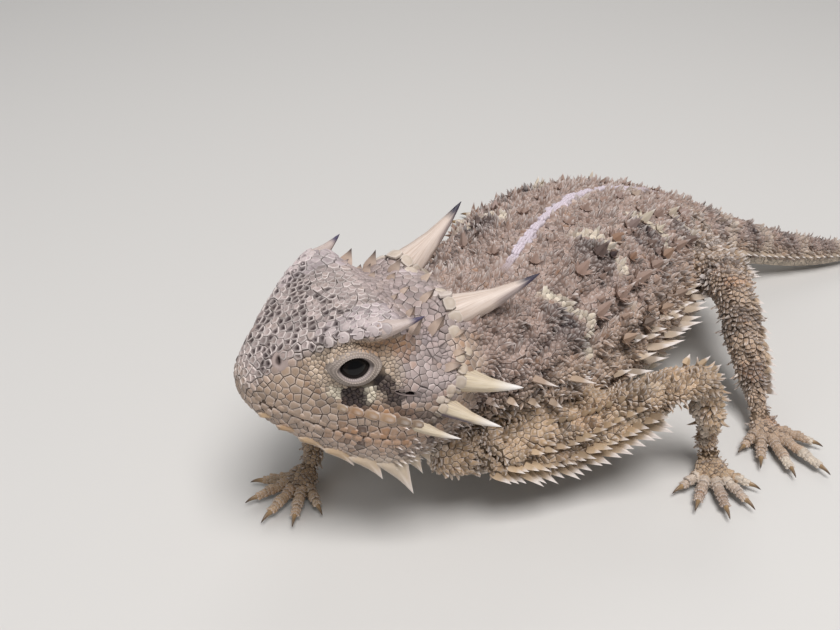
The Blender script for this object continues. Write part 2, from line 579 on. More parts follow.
def head_paint(points):
    x, y, z = head_place(points)
    y = np.abs(y)
    rough, fine = patchy(points, 1.7, 5), patchy(points, 0.9, 15)
    crown = smooth_step(-0.6, 0.4, z - along(BROW_HEIGHT, x) + 0.9) * smooth_step(0.0, 1.0, x - 1.2)
    made = {name: np.zeros(len(points)) for name in PAINTS}
    made["grey"] = 0.6 * crown + 0.7 * bump_at(x, 15.2, 1.9, 1.6) * bump_at(z, 2.2, 1.6, 1.4) * (y > 5)
    made["gold"] = 0.4 * crown * smooth_step(0.1, 0.8, -rough) + 0.35 * (1 - crown) * smooth_step(-9, 2, z) * (1 - smooth_step(12, 17, x) * 0.5)
    made["rose"] = 0.35 * smooth_step(11, 17, x) * crown + 0.5 * bump_at(x, 15.0, 1.6, 1.4) * crown
    eye = np.hypot((x - EYE_PLACE[0]) / 1.2, z - EYE_PLACE[2])
    under = bump_at(x, 8.9, 0.75, 0.3) * bump_at(z, 0.35, 0.75, 0.4)
    behind = np.maximum(bump_at(x, 11.1, 0.65, 0.45) * bump_at(z, 1.9 - 0.5 * (x - 11.1), 0.6, 0.45),
                        bump_at(x, 12.0, 0.5, 0.4) * bump_at(z, 0.6, 0.5, 0.5))
    ear = bump_at(x, 13.0, 0.9, 0.5) * bump_at(z, 1.1, 0.35, 0.35)
    streak = bump_at(x, 14.6, 1.6, 1.0) * bump_at(z, -1.6 - 0.25 * (x - 14.6), 0.4, 0.5)
    pits = 0.45 * crown * smooth_step(0.35, 0.75, rough) * bump_at(x, 6.4, 3.2, 2.0)
    corner = 0.75 * smooth_step(-0.2, 0.6, rough) * bump_at(x, 15.4, 1.6, 1.2) * bump_at(z, -4.0, 1.2, 0.9)
    dots = 0.7 * smooth_step(0.45, 0.95, rough + 0.5 * fine) * smooth_step(0.5, 3.0, 2.5 - z) * smooth_step(7, 10, x)
    made["dark"] = np.clip(np.maximum.reduce([0.95 * under, 0.9 * behind, 0.85 * ear, 0.7 * streak,
                                              0.75 * pits, dots, corner]) * (y > 2.5) + pits * 0.6 * (y <= 2.5), 0, 1)
    nape = bump_at(x, 18.9, 0.7, 0.5) * crown * bump_at(y, 2.4, 1.2, 0.8) * smooth_step(-0.3, 0.4, fine)
    cream = (bump_at(x, 10.0, 0.42, 0.25) * bump_at(z, 0.8, 0.75, 0.3)
             + bump_at(x, 7.6, 0.4, 0.25) * bump_at(z, 0.7, 0.45, 0.3))
    made["pale"] = np.clip(cream + 0.4 * nape + 0.25 * bump_at(eye, 2.3, 0.4, 0.5) * (z > 0.6), 0, 1) * (y > 3)
    ridge = bump_at(z, along(BROW_HEIGHT, x) - 0.2, 0.5, 0.5) * smooth_step(5, 8, x) * (1 - smooth_step(13, 14, x))
    made["white"] = 0.3 * ridge * (y > 4) + 0.3 * nape
    made["orange"] = np.clip(0.5 * bump_at(z, -1.0, 0.5, 0.5) * bump_at(x, 11.0, 2.2, 1.2)
                             + 0.6 * bump_at(z, 4.7, 0.5, 0.7) * bump_at(x, 11.8, 1.9, 1.0)
                             + 0.4 * bump_at(z, -3.6, 0.8, 0.8) * bump_at(x, 11.0, 2.4, 1.5)
                             + 0.35 * smooth_step(0.2, 0.9, -rough) * (1 - crown), 0, 1) * (y > 3)
    made["belly"] = smooth_step(-5.5, -8.0, z)
    return np.stack([made[name] for name in PAINTS], axis=1)


BLOTCHES = ((3.4, 0.52, 3.2, 0.20), (15.2, 0.34, 3.4, 0.14), (27.8, 0.42, 3.2, 0.13), (39.0, 0.50, 2.8, 0.14))


def fold_wave(points, at, off):
    """The folds of the loose skin, low where it is pressed in: along the shoulder, across behind it."""
    front, bend = smooth_step(25, 15, at), patchy(points, 6.0, 31)
    folds = front * np.sin(off * 33 + 0.2 * at + 1.3 * bend) + (1 - front) * np.sin(at * 1.5 + 1.3 * bend)
    return 0.5 * folds + 0.5 * patchy(points, 3.6, 32)


def body_paint(points):
    at, angle, _ = body_place(points)
    share = across_share(angle)
    off = np.abs(share)
    rough, fine = patchy(points, 4.5, 6), patchy(points, 1.6, 7)
    made = {name: np.zeros(len(points)) for name in PAINTS}
    lower = 0.3 * smooth_step(11, 4, at)
    under = smooth_step(1.06 + lower, 1.32 + lower, off)
    made["rose"] = 0.85 * (1 - under) * (1 - 0.4 * smooth_step(0.62, 0.95, off))
    made["gold"] = 0.45 * smooth_step(0.5, 0.95, off) * (1 - under)
    made["belly"] = under
    dark, pale = np.zeros(len(points)), np.zeros(len(points))
    for middle, side, long, wide in BLOTCHES:
        behind = (at - middle) / long
        far = np.hypot(behind, (off - side) / wide) + 0.13 * rough
        dark = np.maximum(dark, (1 - smooth_step(0.8, 1.05, far)) * (0.4 + 0.6 * smooth_step(-0.7, 0.5, behind)))
        rim = bump_at(far, 1.2, 0.12, 0.1) * smooth_step(0.1, 0.7, behind)
        pale = np.maximum(pale, rim)
    for middle in (56.5, 63.0, 69.5, 76.0, 82.0):
        dark = np.maximum(dark, 0.6 * bump_at(at + 0.6 * rough, middle, 0.7, 1.0) * (1 - under))
        pale = np.maximum(pale, 0.35 * bump_at(at + 0.6 * rough, middle + 2.3, 0.4, 0.9) * (1 - under))
    crease = smooth_step(0.85, 1.4, 0.6 - fold_wave(points, at, off)) * smooth_step(0.1, 0.45, off) * smooth_step(46, 34, at)
    made["dark"] = np.clip(0.72 * dark + (0.26 * smooth_step(0.4, 1.2, rough) + 0.22 * smooth_step(0.5, 1.1, fine)
                                          + 0.62 * crease) * (1 - under), 0, 1)
    stripe = bump_at(share * along(HALF_WIDTH, at) * 1.45, 0.0, 0.62, 0.14) * smooth_step(4.5, 10, at)
    stripe = stripe * (1 - smooth_step(38, 50, at))
    groin = bump_at(at, 40.0, 3.0, 2.0) * bump_at(off, 0.92, 0.1, 0.1) * smooth_step(-0.2, 0.5, fine)
    made["white"] = np.clip(stripe + 0.7 * groin, 0, 1)
    made["dark"] *= 1 - stripe
    made["pale"] = np.clip(0.75 * pale + 0.25 * smooth_step(0.7, 1.2, -rough) * (1 - under), 0, 1) * (1 - stripe)
    made["orange"] = 0.5 * smooth_step(0.75, 1.25, fine - 0.3 * rough) * (1 - under)
    made["grey"] = 0.25 * smooth_step(0.4, 1.2, -fine)
    return np.stack([made[name] for name in PAINTS], axis=1)


def limb_paint(points, name):
    share, turn, _, _ = limb_place(points, name)
    rough, fine = patchy(points, 3.4, 8), patchy(points, 1.3, 9)
    made = {key: np.zeros(len(points)) for key in PAINTS}
    under = smooth_step(0.55, 0.95, -np.sin(turn))
    under = np.where((share > 0.97) & (points[:, 2] < 3.2), smooth_step(0.45, 0.2, points[:, 2]), under)
    made["gold"] = (0.9 if name.startswith("arm") else 0.6) * (1 - 0.6 * under)
    made["rose"] = 0.1 if name.startswith("arm") else 0.4
    made["rose"] = made["rose"] * np.ones(len(points)) * (1 - under)
    made["belly"] = 0.75 * under
    bands = bump_at(np.mod(share * 5.0 + 0.12 * rough, 1.0), 0.5, 0.13, 0.12)
    made["dark"] = np.clip((0.30 if name.startswith("arm") else 0.5) * bands * (1 - under)
                           + 0.22 * smooth_step(0.5, 1.2, fine), 0, 1)
    made["pale"] = 0.3 * smooth_step(0.5, 1.2, -rough)
    made["orange"] = 0.5 * smooth_step(0.4, 1.1, rough) * (0.4 if name.startswith("arm") else 1.0)
    return np.stack([made[key] for key in PAINTS], axis=1)


def zones(points):
    """Weights of head, body and each limb at the points, and the values that a scale needs there."""
    x, _, _ = head_place(points)
    deep, off_head = head_depth(points)
    head = smooth_step(21.4, 19.8, x) * smooth_step(1.5, 1.3, deep)
    places = {name: limb_place(points, name) for name in LIMBS}
    for name, (_, _, limb_deep, _) in places.items():
        off_limb = np.abs(limb_deep - 1) * 2.8
        head = head * (1 - smooth_step(0.0, 0.5, off_head - off_limb) * (limb_deep < 1.3))
    at, _, body_deep = body_place(points)
    weights = {"head": head, "body": (1 - head) * 1.0}
    for name in LIMBS:
        share, _, limb_deep, _ = places[name]
        claim = smooth_step(-0.12, 0.12, body_deep - limb_deep) * (limb_deep < 1.9) + (limb_deep < 1.35) * (body_deep > 1.25)
        claim = np.maximum(claim, smooth_step(1.3, 1.12, limb_deep) * (body_deep > 0.9))
        if name.startswith("arm"):
            claim = np.maximum(claim, smooth_step(1.35, 1.15, limb_deep) * smooth_step(9, 6, at))
        claim = np.where((share > 0.97) & (limb_deep < 9) & (points[:, 2] < 3.2), 1.0, claim)
        claim = np.clip(claim, 0, 1) * (1 - head)
        weights[name] = claim
        weights["body"] = weights["body"] * (1 - claim)
    return weights


def paint(points):
    points = np.asarray(points, float)
    weights = zones(points)
    total = sum(weights.values())[:, None] + 1e-9
    mixed = weights["head"][:, None] * head_paint(points) + weights["body"][:, None] * body_paint(points)
    for name in LIMBS:
        mixed = mixed + weights[name][:, None] * limb_paint(points, name)
    return np.clip(mixed / total, 0, 1)


def lie_and_size(points):
    """The coat's direction, spacing, height, keel and place on the unwrap, at points of the skin."""
    points = np.asarray(points, float)
    count = len(points)
    x, y, z = head_place(points)
    at, angle, body_deep = body_place(points)
    weights = zones(points)
    names = ["head", "body", *LIMBS]
    owner = np.argmax(np.stack([weights[n] for n in names]), axis=0)
    way = np.tile(BACKWARD, (count, 1))
    turn = np.interp(at, SPINE_AT, SPINE_TURN)
    body_way = np.stack([np.cos(turn), np.sin(turn), np.zeros(count)], axis=1)
    way[owner == 1] = body_way[owner == 1]
    spacing, height, keel = np.full(count, 0.7), np.full(count, 0.16), np.full(count, 0.3)
    unwrap = np.zeros((count, 2))
    side = np.abs(y)
    crown = smooth_step(-0.6, 0.4, z - along(BROW_HEIGHT, x) + 0.9)
    eye = np.hypot((x - EYE_PLACE[0]) / 1.25, z - EYE_PLACE[2]) + 3 * (side < 3)
    head_space = SPACING["cheek"] + (SPACING["crown"] - SPACING["cheek"]) * crown
    head_space = np.where(x < 5, SPACING["snout"] + (head_space - SPACING["snout"]) * smooth_step(2, 5, x), head_space)
    head_space = head_space + (SPACING["lid"] - head_space) * bump_at(eye, 1.5, 1.2, 1.2) * (1 - crown)
    temple = bump_at(x, 15.2, 1.9, 1.4) * bump_at(z, 2.2, 1.6, 1.2)
    head_space = head_space + (SPACING["temple"] - head_space) * temple
    ridge = bump_at(z, along(BROW_HEIGHT, x) - 0.1, 0.45, 0.4) * smooth_step(6, 8, x) * (1 - smooth_step(13, 14, x)) * (side > 3.5)
    head_space = head_space + (SPACING["brow"] - head_space) * ridge
    head_space = head_space + (SPACING["throat"] - head_space) * smooth_step(-3.5, -6, z)
    is_head = owner == 0
    spacing[is_head] = head_space[is_head]
    height[is_head] = (0.13 + 0.05 * crown - 0.03 * smooth_step(-3, -7, z))[is_head]
    keel[is_head] = (0.05 + 0.25 * smooth_step(0, -3, z))[is_head]
    middle = (along(CROWN_HEIGHT, x) + along(THROAT_HEIGHT, x)) / 2
    round_head = np.arctan2(z - middle, y) / (2 * math.pi) + 0.5
    unwrap[is_head] = np.stack([0.02 + 0.46 * np.clip(x / 22, 0, 1), 0.52 + 0.46 * round_head], axis=1)[is_head]
    off = np.abs(across_share(angle))
    lower = 0.3 * smooth_step(11, 4, at)
    under = smooth_step(1.05 + lower, 1.3 + lower, off)
    space = SPACING["back"] + (SPACING["flank"] - SPACING["back"]) * smooth_step(0.6, 0.95, off)
    space = space + (SPACING["belly"] - space) * under
    space = np.where(at < 6, SPACING["neck"] + (space - SPACING["neck"]) * smooth_step(1, 6, at), space)
    space = space + (SPACING["tail"] - space) * smooth_step(50, 60, at)
    space = space - 0.16 * smooth_step(68, 84, at)
    is_body = owner == 1
    spacing[is_body] = space[is_body]
    height[is_body] = (0.15 * (1 - under) + 0.05 * under)[is_body]
    keel[is_body] = (0.7 * (1 - under))[is_body]
    unwrap[is_body] = np.stack([0.52 + 0.46 * np.clip((at + 8) / 96, 0, 1),
                                0.52 + 0.46 * np.mod(angle / (2 * math.pi) + 0.5, 1)], axis=1)[is_body]
    for number, name in enumerate(LIMBS):
        down, round_limb, deep, limb_way = limb_place(points, name)
        here = owner == 2 + number
        heading = unit((*LIMBS[name][1], 0.0))
        foot = np.clip((down > 0.97) * 1.0, 0, 1)
        limb_way = np.where(foot[:, None] > 0.5, heading, limb_way)
        way[here] = limb_way[here]
        spacing[here] = (SPACING["limb"] - (SPACING["limb"] - SPACING["toe"]) * smooth_step(0.86, 0.97, down))[here]
        height[here] = (0.15 - 0.05 * foot)[here]
        keel[here] = (0.9 - 0.5 * foot)[here]
        past = np.sum((points - LIMB_LINES[name][0][-1]) * heading, axis=1) * foot
        unwrap[here] = np.stack([0.02 + 0.24 * number + 0.22 * np.clip((down * 24 + np.maximum(past, 0)) / 36, 0, 1),
                                 0.02 + 0.46 * np.mod(round_limb / (2 * math.pi) + 0.5, 1)], axis=1)[here]
    return owner, unit(way), spacing, height, keel, unwrap


# ---- The coat's meshes, gathered as arrays
class Coat:
    """Many small closed forms of one piece, with their roots' markings."""

    def __init__(self):
        self.points, self.faces, self.roots, self.marks, self.local, self.count = [], [], [], [], [], 0

    def add(self, root, points, faces, edge, tip, stain, vary, local):
        """Points in the body's frame; edge, tip and stain per point; local is the place in the bake patch."""
        points = np.asarray(points, float)
        self.points.append(points)
        self.faces += [tuple(i + self.count for i in face) for face in faces]
        self.roots.append(np.tile(root, (len(points), 1)))
        self.marks.append(np.stack([np.full(len(points), vary), edge, tip, stain], axis=1))
        self.local.append(local)
        self.count += len(points)

    def finish(self, name, material, extra=None):
        points, roots = np.concatenate(self.points), np.concatenate(self.roots)
        piece = mesh_piece(name, placed(points), self.faces)
        piece.data.shade_smooth()
        piece.data.set_sharp_from_angle(angle=math.radians(48))
        plain, back = np.unique(np.round(roots, 6), axis=0, return_inverse=True)
        back = back.reshape(-1)
        values = paint(plain)[back]
        if extra is not None:
            values = np.maximum(values, np.asarray(extra)[None, :])
        set_paint(piece, values, np.concatenate(self.marks))
        unwrap = lie_and_size(plain)[5][back] + np.concatenate(self.local) * PATCH
        layer = piece.data.uv_layers.new(name="OFBake")
        corners = np.empty(len(piece.data.loops), int)
        piece.data.loops.foreach_get("vertex_index", corners)
        layer.data.foreach_set("uv", unwrap[corners].astype(np.float32).ravel())
        piece.data.materials.append(material)
        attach(piece, "root")
        return piece


def set_paint(piece, values, marks):
    for name, block in (("paint_a", values[:, :4]), ("paint_b", values[:, 4:8]), ("mark", marks)):
        layer = piece.data.attributes.new(name, "FLOAT_COLOR", "POINT")
        layer.data.foreach_set("color", np.ascontiguousarray(block, dtype=np.float32).ravel())


# ---- Scales: seeds settled evenly over the skin, each cell a small raised plate
def skin_arrays(skin):
    mesh = skin.data
    mesh.calc_loop_triangles()
    corners = np.empty(len(mesh.loop_triangles) * 3, int)
    mesh.loop_triangles.foreach_get("vertices", corners)
    return own_points(skin), corners.reshape(-1, 3)


def kd_of(points):
    tree = KDTree(len(points))
    for i, p in enumerate(points):
        tree.insert(p, i)
    tree.balance()
    return tree


def settle(points, corners, keep, rounds):
    """Seeds spread so that each stands about one spacing from the next."""
    a, b, c = (points[corners[:, k]] for k in range(3))
    middles = (a + b + c) / 3
    area = np.linalg.norm(np.cross(b - a, c - a), axis=1) / 2
    _, _, spacing, _, _, _ = lie_and_size(middles)
    wanted = np.where(keep(middles), area / (0.866 * spacing ** 2), 0.0)
    total = int(wanted.sum())
    cloud = 12 * total
    pick = np.searchsorted(np.cumsum(wanted) / wanted.sum(), RNG.random(cloud))
    u, v = RNG.random(cloud), RNG.random(cloud)
    fold = u + v > 1
    u[fold], v[fold] = 1 - u[fold], 1 - v[fold]
    spots = a[pick] + (b - a)[pick] * u[:, None] + (c - a)[pick] * v[:, None]
    seeds = spots[RNG.choice(cloud, total, replace=False)]
    for _ in range(rounds):
        tree = kd_of(seeds)
        owner = np.fromiter((tree.find(p)[1] for p in spots), int, cloud)
        sums = np.stack([np.bincount(owner, spots[:, k], minlength=total) for k in range(3)], axis=1)
        counts = np.bincount(owner, minlength=total)
        seeds = np.where(counts[:, None] > 0, sums / np.maximum(counts, 1)[:, None], seeds)
    return seeds


def clip(polygon, nx, ny, limit):
    """Keeps the side of the polygon where nx*x + ny*y <= limit."""
    out = []
    last = polygon[-1]
    last_d = nx * last[0] + ny * last[1] - limit
    for point in polygon:
        d = nx * point[0] + ny * point[1] - limit
        if (d > 0) != (last_d > 0):
            t = last_d / (last_d - d)
            out.append((last[0] + (point[0] - last[0]) * t, last[1] + (point[1] - last[1]) * t))
        if d <= 0:
            out.append(point)
        last, last_d = point, d
    return out


CORNERS = [(math.cos(a), math.sin(a)) for a in (2 * math.pi * (k + 0.5) / 10 for k in range(10))]


def cells(seeds, normals, ways, spacing):
    """The flat cell round each seed, in its own plane: x along the lie of the coat."""
    tree = kd_of(seeds)
    found = []
    for i, seed in enumerate(seeds):
        normal = normals[i]
        x_way = ways[i] - np.dot(ways[i], normal) * normal
        x_way = x_way / max(math.sqrt(float(np.dot(x_way, x_way))), 1e-6)
        y_way = np.cross(normal, x_way)
        reach = 0.92 * spacing[i]
        polygon = [(reach * cx, reach * cy) for cx, cy in CORNERS]
        near = [j for _, j, _ in tree.find_n(seed, 11) if j != i]
        away = seeds[near] - seed
        px, py = away @ x_way, away @ y_way
        for nx, ny in zip(px.tolist(), py.tolist()):
            size = nx * nx + ny * ny
            if size < 1e-6:
                continue
            polygon = clip(polygon, nx, ny, size / 2)
            if len(polygon) < 3:
                break
        found.append((polygon, x_way, y_way))
    return found


def tidy_polygon(polygon, shortest):
    """Drops corners that stand closer than shortest, so that a plate has few faces."""
    out = []
    for point in polygon:
        if not out or math.hypot(point[0] - out[-1][0], point[1] - out[-1][1]) > shortest:
            out.append(point)
    if len(out) > 3 and math.hypot(out[0][0] - out[-1][0], out[0][1] - out[-1][1]) <= shortest:
        out.pop()
    return out


def plate(coat, root, normal, polygon, x_way, y_way, height, keel, pit, vary, dark=0.0):
    """One scale: a skirt down into the skin, a rounded shoulder, and a keel, dome or dark pit."""
    n = len(polygon)
    flat = np.array(polygon)
    centre = flat.mean(axis=0)
    radius = max(float(np.linalg.norm(flat - centre, axis=1).mean()), 1e-3)
    rise = (flat[:, 0] - centre[0]) / radius
    rings, edges, tips = [], [], []
    lift = keel * 0.85
    for size, high, edge, push in ((0.96, -0.16, 0.4, 0.0), (0.90, (0.45 + 0.35 * pit) * height, 1.0 + 0.5 * pit, 0.0),
                                   (0.58 + 0.10 * pit, height, 0.25 + 0.6 * pit, 0.30 * keel * radius)):
        xy = centre + (flat - centre) * size + (push, 0.0)
        up = high + (height * lift * np.clip(rise, -0.6, 1) * size if high > 0 else 0.0)
        rings.append(root + xy[:, :1] * x_way + xy[:, 1:] * y_way + np.reshape(up * np.ones(n), (-1, 1)) * normal)
        edges += [edge] * n
        tips += list(np.clip(rise, 0, 1) * keel * (edge > 0.5) * (high > 0))
    top = centre + (0.42 * keel * radius, 0.0)
    peak = height * (1.12 + 0.75 * keel - 1.15 * pit)
    rings.append((root + top[0] * x_way + top[1] * y_way + peak * normal)[None])
    edges.append(0.0)
    tips.append(0.55 * keel)
    faces = []
    for r in range(2):
        for k in range(n):
            a, b = r * n + k, r * n + (k + 1) % n
            faces.append((a, b, b + n, a + n))
    faces += [(2 * n + k, 2 * n + (k + 1) % n, 3 * n) for k in range(n)]
    spread = np.vstack([flat, flat * 0.95, flat * 0.6, [[0.0, 0.0]]]) / max(np.abs(flat).max(), 1e-6)
    stain = np.zeros(3 * n + 1)
    stain[:n] = 0.5
    stain[2 * n:3 * n] = 0.55 * dark + 0.12 * pit
    stain[-1] = dark + 0.3 * pit
    coat.add(root, np.vstack(rings), faces, np.array(edges), np.array(tips), stain, vary, spread)


def nearest_on(tree, points):
    """Nearest points of the skin and its normals there, in the body's frame."""
    places, normals = np.empty((len(points), 3)), np.empty((len(points), 3))
    for i, p in enumerate(points):
        place, normal, _, _ = tree.find_nearest(p)
        places[i], normals[i] = place, normal
    return places, normals


# ---- Spines: one leaf-shaped form, set many times
def leaf_form():
    """A keeled spine along +X, one unit long, half a unit to each side and up, from a small cone."""
    sides = 6
    rings = ((-0.25, 0.90), (0.0, 1.0), (0.16, 0.94), (0.38, 0.70), (0.64, 0.38), (0.86, 0.14))
    section = ((1.0, 0.0), (0.46, 0.42), (0.0, 1.3), (-0.46, 0.42), (-1.0, 0.0), (0.0, -0.6))
    points, faces = [], []
    for reach, size in rings:
        points += [(reach, size * y, size * z) for y, z in section]
    points.append((1.0, 0.0, 0.0))
    for r in range(len(rings) - 1):
        for k in range(sides):
            a, b = r * sides + k, r * sides + (k + 1) % sides
            faces.append((a, a + sides, b + sides, b))
    last = (len(rings) - 1) * sides
    faces += [(last + k, len(points) - 1, last + (k + 1) % sides) for k in range(sides)]
    faces.append(tuple(range(sides)))
    return np.array(points), faces


LEAF_POINTS, LEAF_FACES = leaf_form()


def leaf(coat, root, way, side, length, half_width, half_height, bend=0.0, vary=0.5, tip_from=0.45, stained=0.0):
    """One spine at root. Its width lies along side, and it bends towards its keel. A stain darkens the tip."""
    way = unit(way)
    side = np.asarray(side, float) - np.dot(side, way) * way
    side = unit(side)
    over = np.cross(way, side)
    shape = LEAF_POINTS
    reach = np.maximum(shape[:, 0], 0)
    points = (root + way * (shape[:, :1] * length) + side * (shape[:, 1:2] * half_width)
              + over * (shape[:, 2:] * half_height + (bend * length * reach ** 2)[:, None]))
    tip = smooth_step(tip_from, min(tip_from + 0.4, 1.0), shape[:, 0])
    edge = np.clip(np.abs(shape[:, 1]), 0, 1) * 0.5
    local = np.stack([shape[:, 0] * 0.9 * np.sign(shape[:, 0] + 1), shape[:, 1] * 0.9 + 0.05 * shape[:, 2]], axis=1)
    coat.add(np.asarray(root, float), points, LEAF_FACES, edge, tip * (1 - stained), tip * stained, vary,
             np.clip(local, -1, 1))


# ---- Finishes
def tone(red, green, blue):
    """A screen colour as the shader's own numbers."""
    return tuple(((c / 255 + 0.055) / 1.055) ** 2.4 if c > 10 else c / 255 / 12.92 for c in (red, green, blue)) + (1.0,)


class Value:
    """A number of the shader that takes part in Python sums."""

    def __init__(self, tree, socket):
        self.tree, self.socket = tree, socket

    def _sum(self, operation, first, second=0.0, clamp=False):
        node = self.tree.nodes.new("ShaderNodeMath")
        node.operation, node.use_clamp = operation, clamp
        for slot, term in zip(node.inputs, (first, second)):
            if isinstance(term, Value):
                self.tree.links.new(term.socket, slot)
            else:
                slot.default_value = term
        return Value(self.tree, node.outputs[0])

    def __add__(self, other):
        return self._sum("ADD", self, other)

    def __sub__(self, other):
        return self._sum("SUBTRACT", self, other)

    def __rsub__(self, other):
        return self._sum("SUBTRACT", other, self)

    def __mul__(self, other):
        return self._sum("MULTIPLY", self, other)

    def __pow__(self, other):
        return self._sum("POWER", self, other)

    __radd__, __rmul__ = __add__, __mul__

    def held(self):
        """The number kept between 0 and 1."""
        return self._sum("ADD", self, 0.0, clamp=True)


class Finish:
    """A material, its shader and the nodes behind it."""

    def __init__(self, name, **constants):
        self.material = bpy.data.materials.new(name)
        self.material.use_nodes = True
        self.tree = self.material.node_tree
        self.shader = self.tree.nodes["Principled BSDF"]
        for socket, value in constants.items():
            self.shader.inputs[socket.replace("_", " ")].default_value = value

    def node(self, kind, settings, inputs, out=0):
        made = self.tree.nodes.new(kind)
        for name, value in settings.items():
            if name == "stops":
                ramp = made.color_ramp
                while len(ramp.elements) < len(value):
                    ramp.elements.new(0.5)
                for element, (place, colour) in zip(ramp.elements, value):
                    element.position, element.color = place, colour
            else:
                setattr(made, name, value)
        for slot, value in inputs.items():
            if isinstance(value, Value):
                self.tree.links.new(value.socket, made.inputs[slot])
            else:
                made.inputs[slot].default_value = value
        return Value(self.tree, made.outputs[out])

    def blend(self, share, first, second, kind="MIX"):
        return self.node("ShaderNodeMix", {"data_type": "RGBA", "blend_type": kind}, {0: share, 6: first, 7: second}, 2)

    def noise(self, scale, detail=2.0, where=None, rough=0.5):
        where = where or self.where()
        return self.node("ShaderNodeTexNoise", {}, {"Vector": where, "Scale": scale, "Detail": detail,
                                                    "Roughness": rough})

    def where(self):
        return self.node("ShaderNodeTexCoord", {}, {}, 3)

    def channels(self, name):
        """The four numbers of a colour attribute."""
        colour = self.node("ShaderNodeAttribute", {"attribute_name": name}, {}, 0)
        split = self.node("ShaderNodeSeparateColor", {}, {0: colour}).socket.node
        alpha = colour.socket.node.outputs["Alpha"]
        return [Value(self.tree, s) for s in (*split.outputs[:3], alpha)]

    def feed(self, **inputs):
        for socket, value in inputs.items():
            self.tree.links.new(value.socket, self.shader.inputs[socket.replace("_", " ")])
        return self.material

    def bump(self, height, strength, distance):
        return self.node("ShaderNodeBump", {}, {"Height": height, "Strength": strength, "Distance": distance})


TAN, GOLD, ROSE, GREY = tone(168, 147, 133), tone(170, 141, 106), tone(142, 116, 104), tone(166, 153, 155)
PALE, WHITE, ORANGE, BELLY, DARK = (tone(212, 201, 180), tone(208, 196, 206), tone(166, 118, 76),
                                    tone(196, 182, 164), tone(50, 37, 38))
BONE = tone(232, 224, 220)


def animal_colour(finish, shade):
    """Skin and scales alike: the markings laid over the ground colour, then each scale's own tone."""
    dark, pale, gold, rose = finish.channels("paint_a")
    grey, white, orange, belly = finish.channels("paint_b")
    vary, edge, tip, stain = finish.channels("mark")
    fleck = finish.noise(2600.0, 3.0)
    patch = finish.noise(420.0, 2.0)
    colour = finish.blend(rose, TAN, ROSE)
    colour = finish.blend(gold, colour, GOLD)
    colour = finish.blend(grey, colour, GREY)
    colour = finish.blend(belly, colour, BELLY)
    colour = finish.blend((orange * (0.6 + patch * 0.8)).held(), colour, ORANGE)
    colour = finish.blend(pale, colour, PALE)
    colour = finish.blend(white, colour, WHITE)
    colour = finish.blend((dark * (0.55 + fleck * 0.9)).held(), colour, DARK)
    rim = (edge * edge * 0.32 * (1 - dark)).held()
    colour = finish.blend(rim, colour, BONE)
    light = (0.62 + vary * 0.50 + fleck * 0.18) * shade
    colour = finish.node("ShaderNodeVectorMath", {"operation": "SCALE"}, {0: colour, 3: light})
    colour = finish.blend((tip * 0.85).held(), colour, BONE)
    colour = finish.blend((stain * 0.9).held(), colour, DARK)
    return colour, fleck, tip


def skin_finish():
    finish = Finish("skin", Roughness=0.7, Specular_IOR_Level=0.3)
    colour, fleck, _ = animal_colour(finish, 0.34)
    grain = finish.node("ShaderNodeTexVoronoi", {}, {"Vector": finish.where(), "Scale": 4200.0})
    return finish.feed(Base_Color=colour, Roughness=0.62 + fleck * 0.2,
                       Normal=finish.bump(1 - grain, 0.5, 0.00008))


def scale_finish():
    finish = Finish("scales", Specular_IOR_Level=0.42)
    colour, fleck, tip = animal_colour(finish, 1.0)
    wear = finish.noise(7000.0, 3.0)
    return finish.feed(Base_Color=colour, Roughness=0.50 + fleck * 0.22 - tip * 0.08,
                       Normal=finish.bump(wear, 0.35, 0.00004))


def horn_finish(name, ground, streak, tip_colour, tip_from, slope):
    """Streaked horn: grain holds the turn round the horn and, in z, the share from foot to tip."""
    finish = Finish(name, Specular_IOR_Level=0.5)
    grain = finish.node("ShaderNodeAttribute", {"attribute_name": "grain"}, {}, 1)
    split = finish.node("ShaderNodeSeparateXYZ", {}, {0: grain}).socket.node
    share = Value(finish.tree, split.outputs[2])
    stretched = finish.node("ShaderNodeMapping", {}, {"Vector": grain, "Scale": (5.5, 5.5, 1.3)})
    fibres = finish.noise(1.0, 4.0, stretched, 0.6)
    fine = finish.noise(3.1, 4.0, stretched, 0.6)
    colour = finish.blend(((fibres - 0.42) * 3.2).held(), ground, streak)
    colour = finish.blend(((fine - 0.5) * 2.2).held(), colour, BONE)
    colour = finish.blend(((share - tip_from + fibres * 0.2) * slope).held(), colour, tip_colour)
    band, _, _, _ = finish.channels("band")
    colour = finish.blend(band, colour, tone(74, 62, 86))
    return finish.feed(Base_Color=colour, Roughness=0.36 + fibres * 0.2,
                       Normal=finish.bump(fine + fibres, 0.4, 0.00006))


def eye_finish():
    finish = Finish("eye", Roughness=0.12, Coat_Weight=0.12, Coat_Roughness=0.03, Specular_IOR_Level=0.22)
    across, _, _, _ = finish.channels("gaze")
    fibres = finish.noise(2400.0, 3.0)
    iris = finish.blend(fibres, tone(16, 12, 11), tone(30, 22, 17))
    colour = finish.blend(((across - 0.36) * 12.0).held(), tone(7, 6, 7), iris)
    colour = finish.blend(((across - 0.50) * 7.0).held(), colour, tone(14, 11, 11))
    return finish.feed(Base_Color=colour)


def claw_finish():
    finish = Finish("claws", Roughness=0.35, Specular_IOR_Level=0.5)
    share, _, _, _ = finish.channels("mark")
    grain = finish.noise(3000.0)
    colour = finish.blend((share + grain * 0.3 - 0.15).held(), tone(176, 146, 108), tone(58, 42, 34))
    return finish.feed(Base_Color=colour, Normal=finish.bump(grain, 0.2, 0.00004))


def own_points(piece):
    """The piece's points in the body's frame."""
    points = np.empty(len(piece.data.vertices) * 3)
    piece.data.vertices.foreach_get("co", points)
    return (points.reshape(-1, 3) - SHIFT) / MM


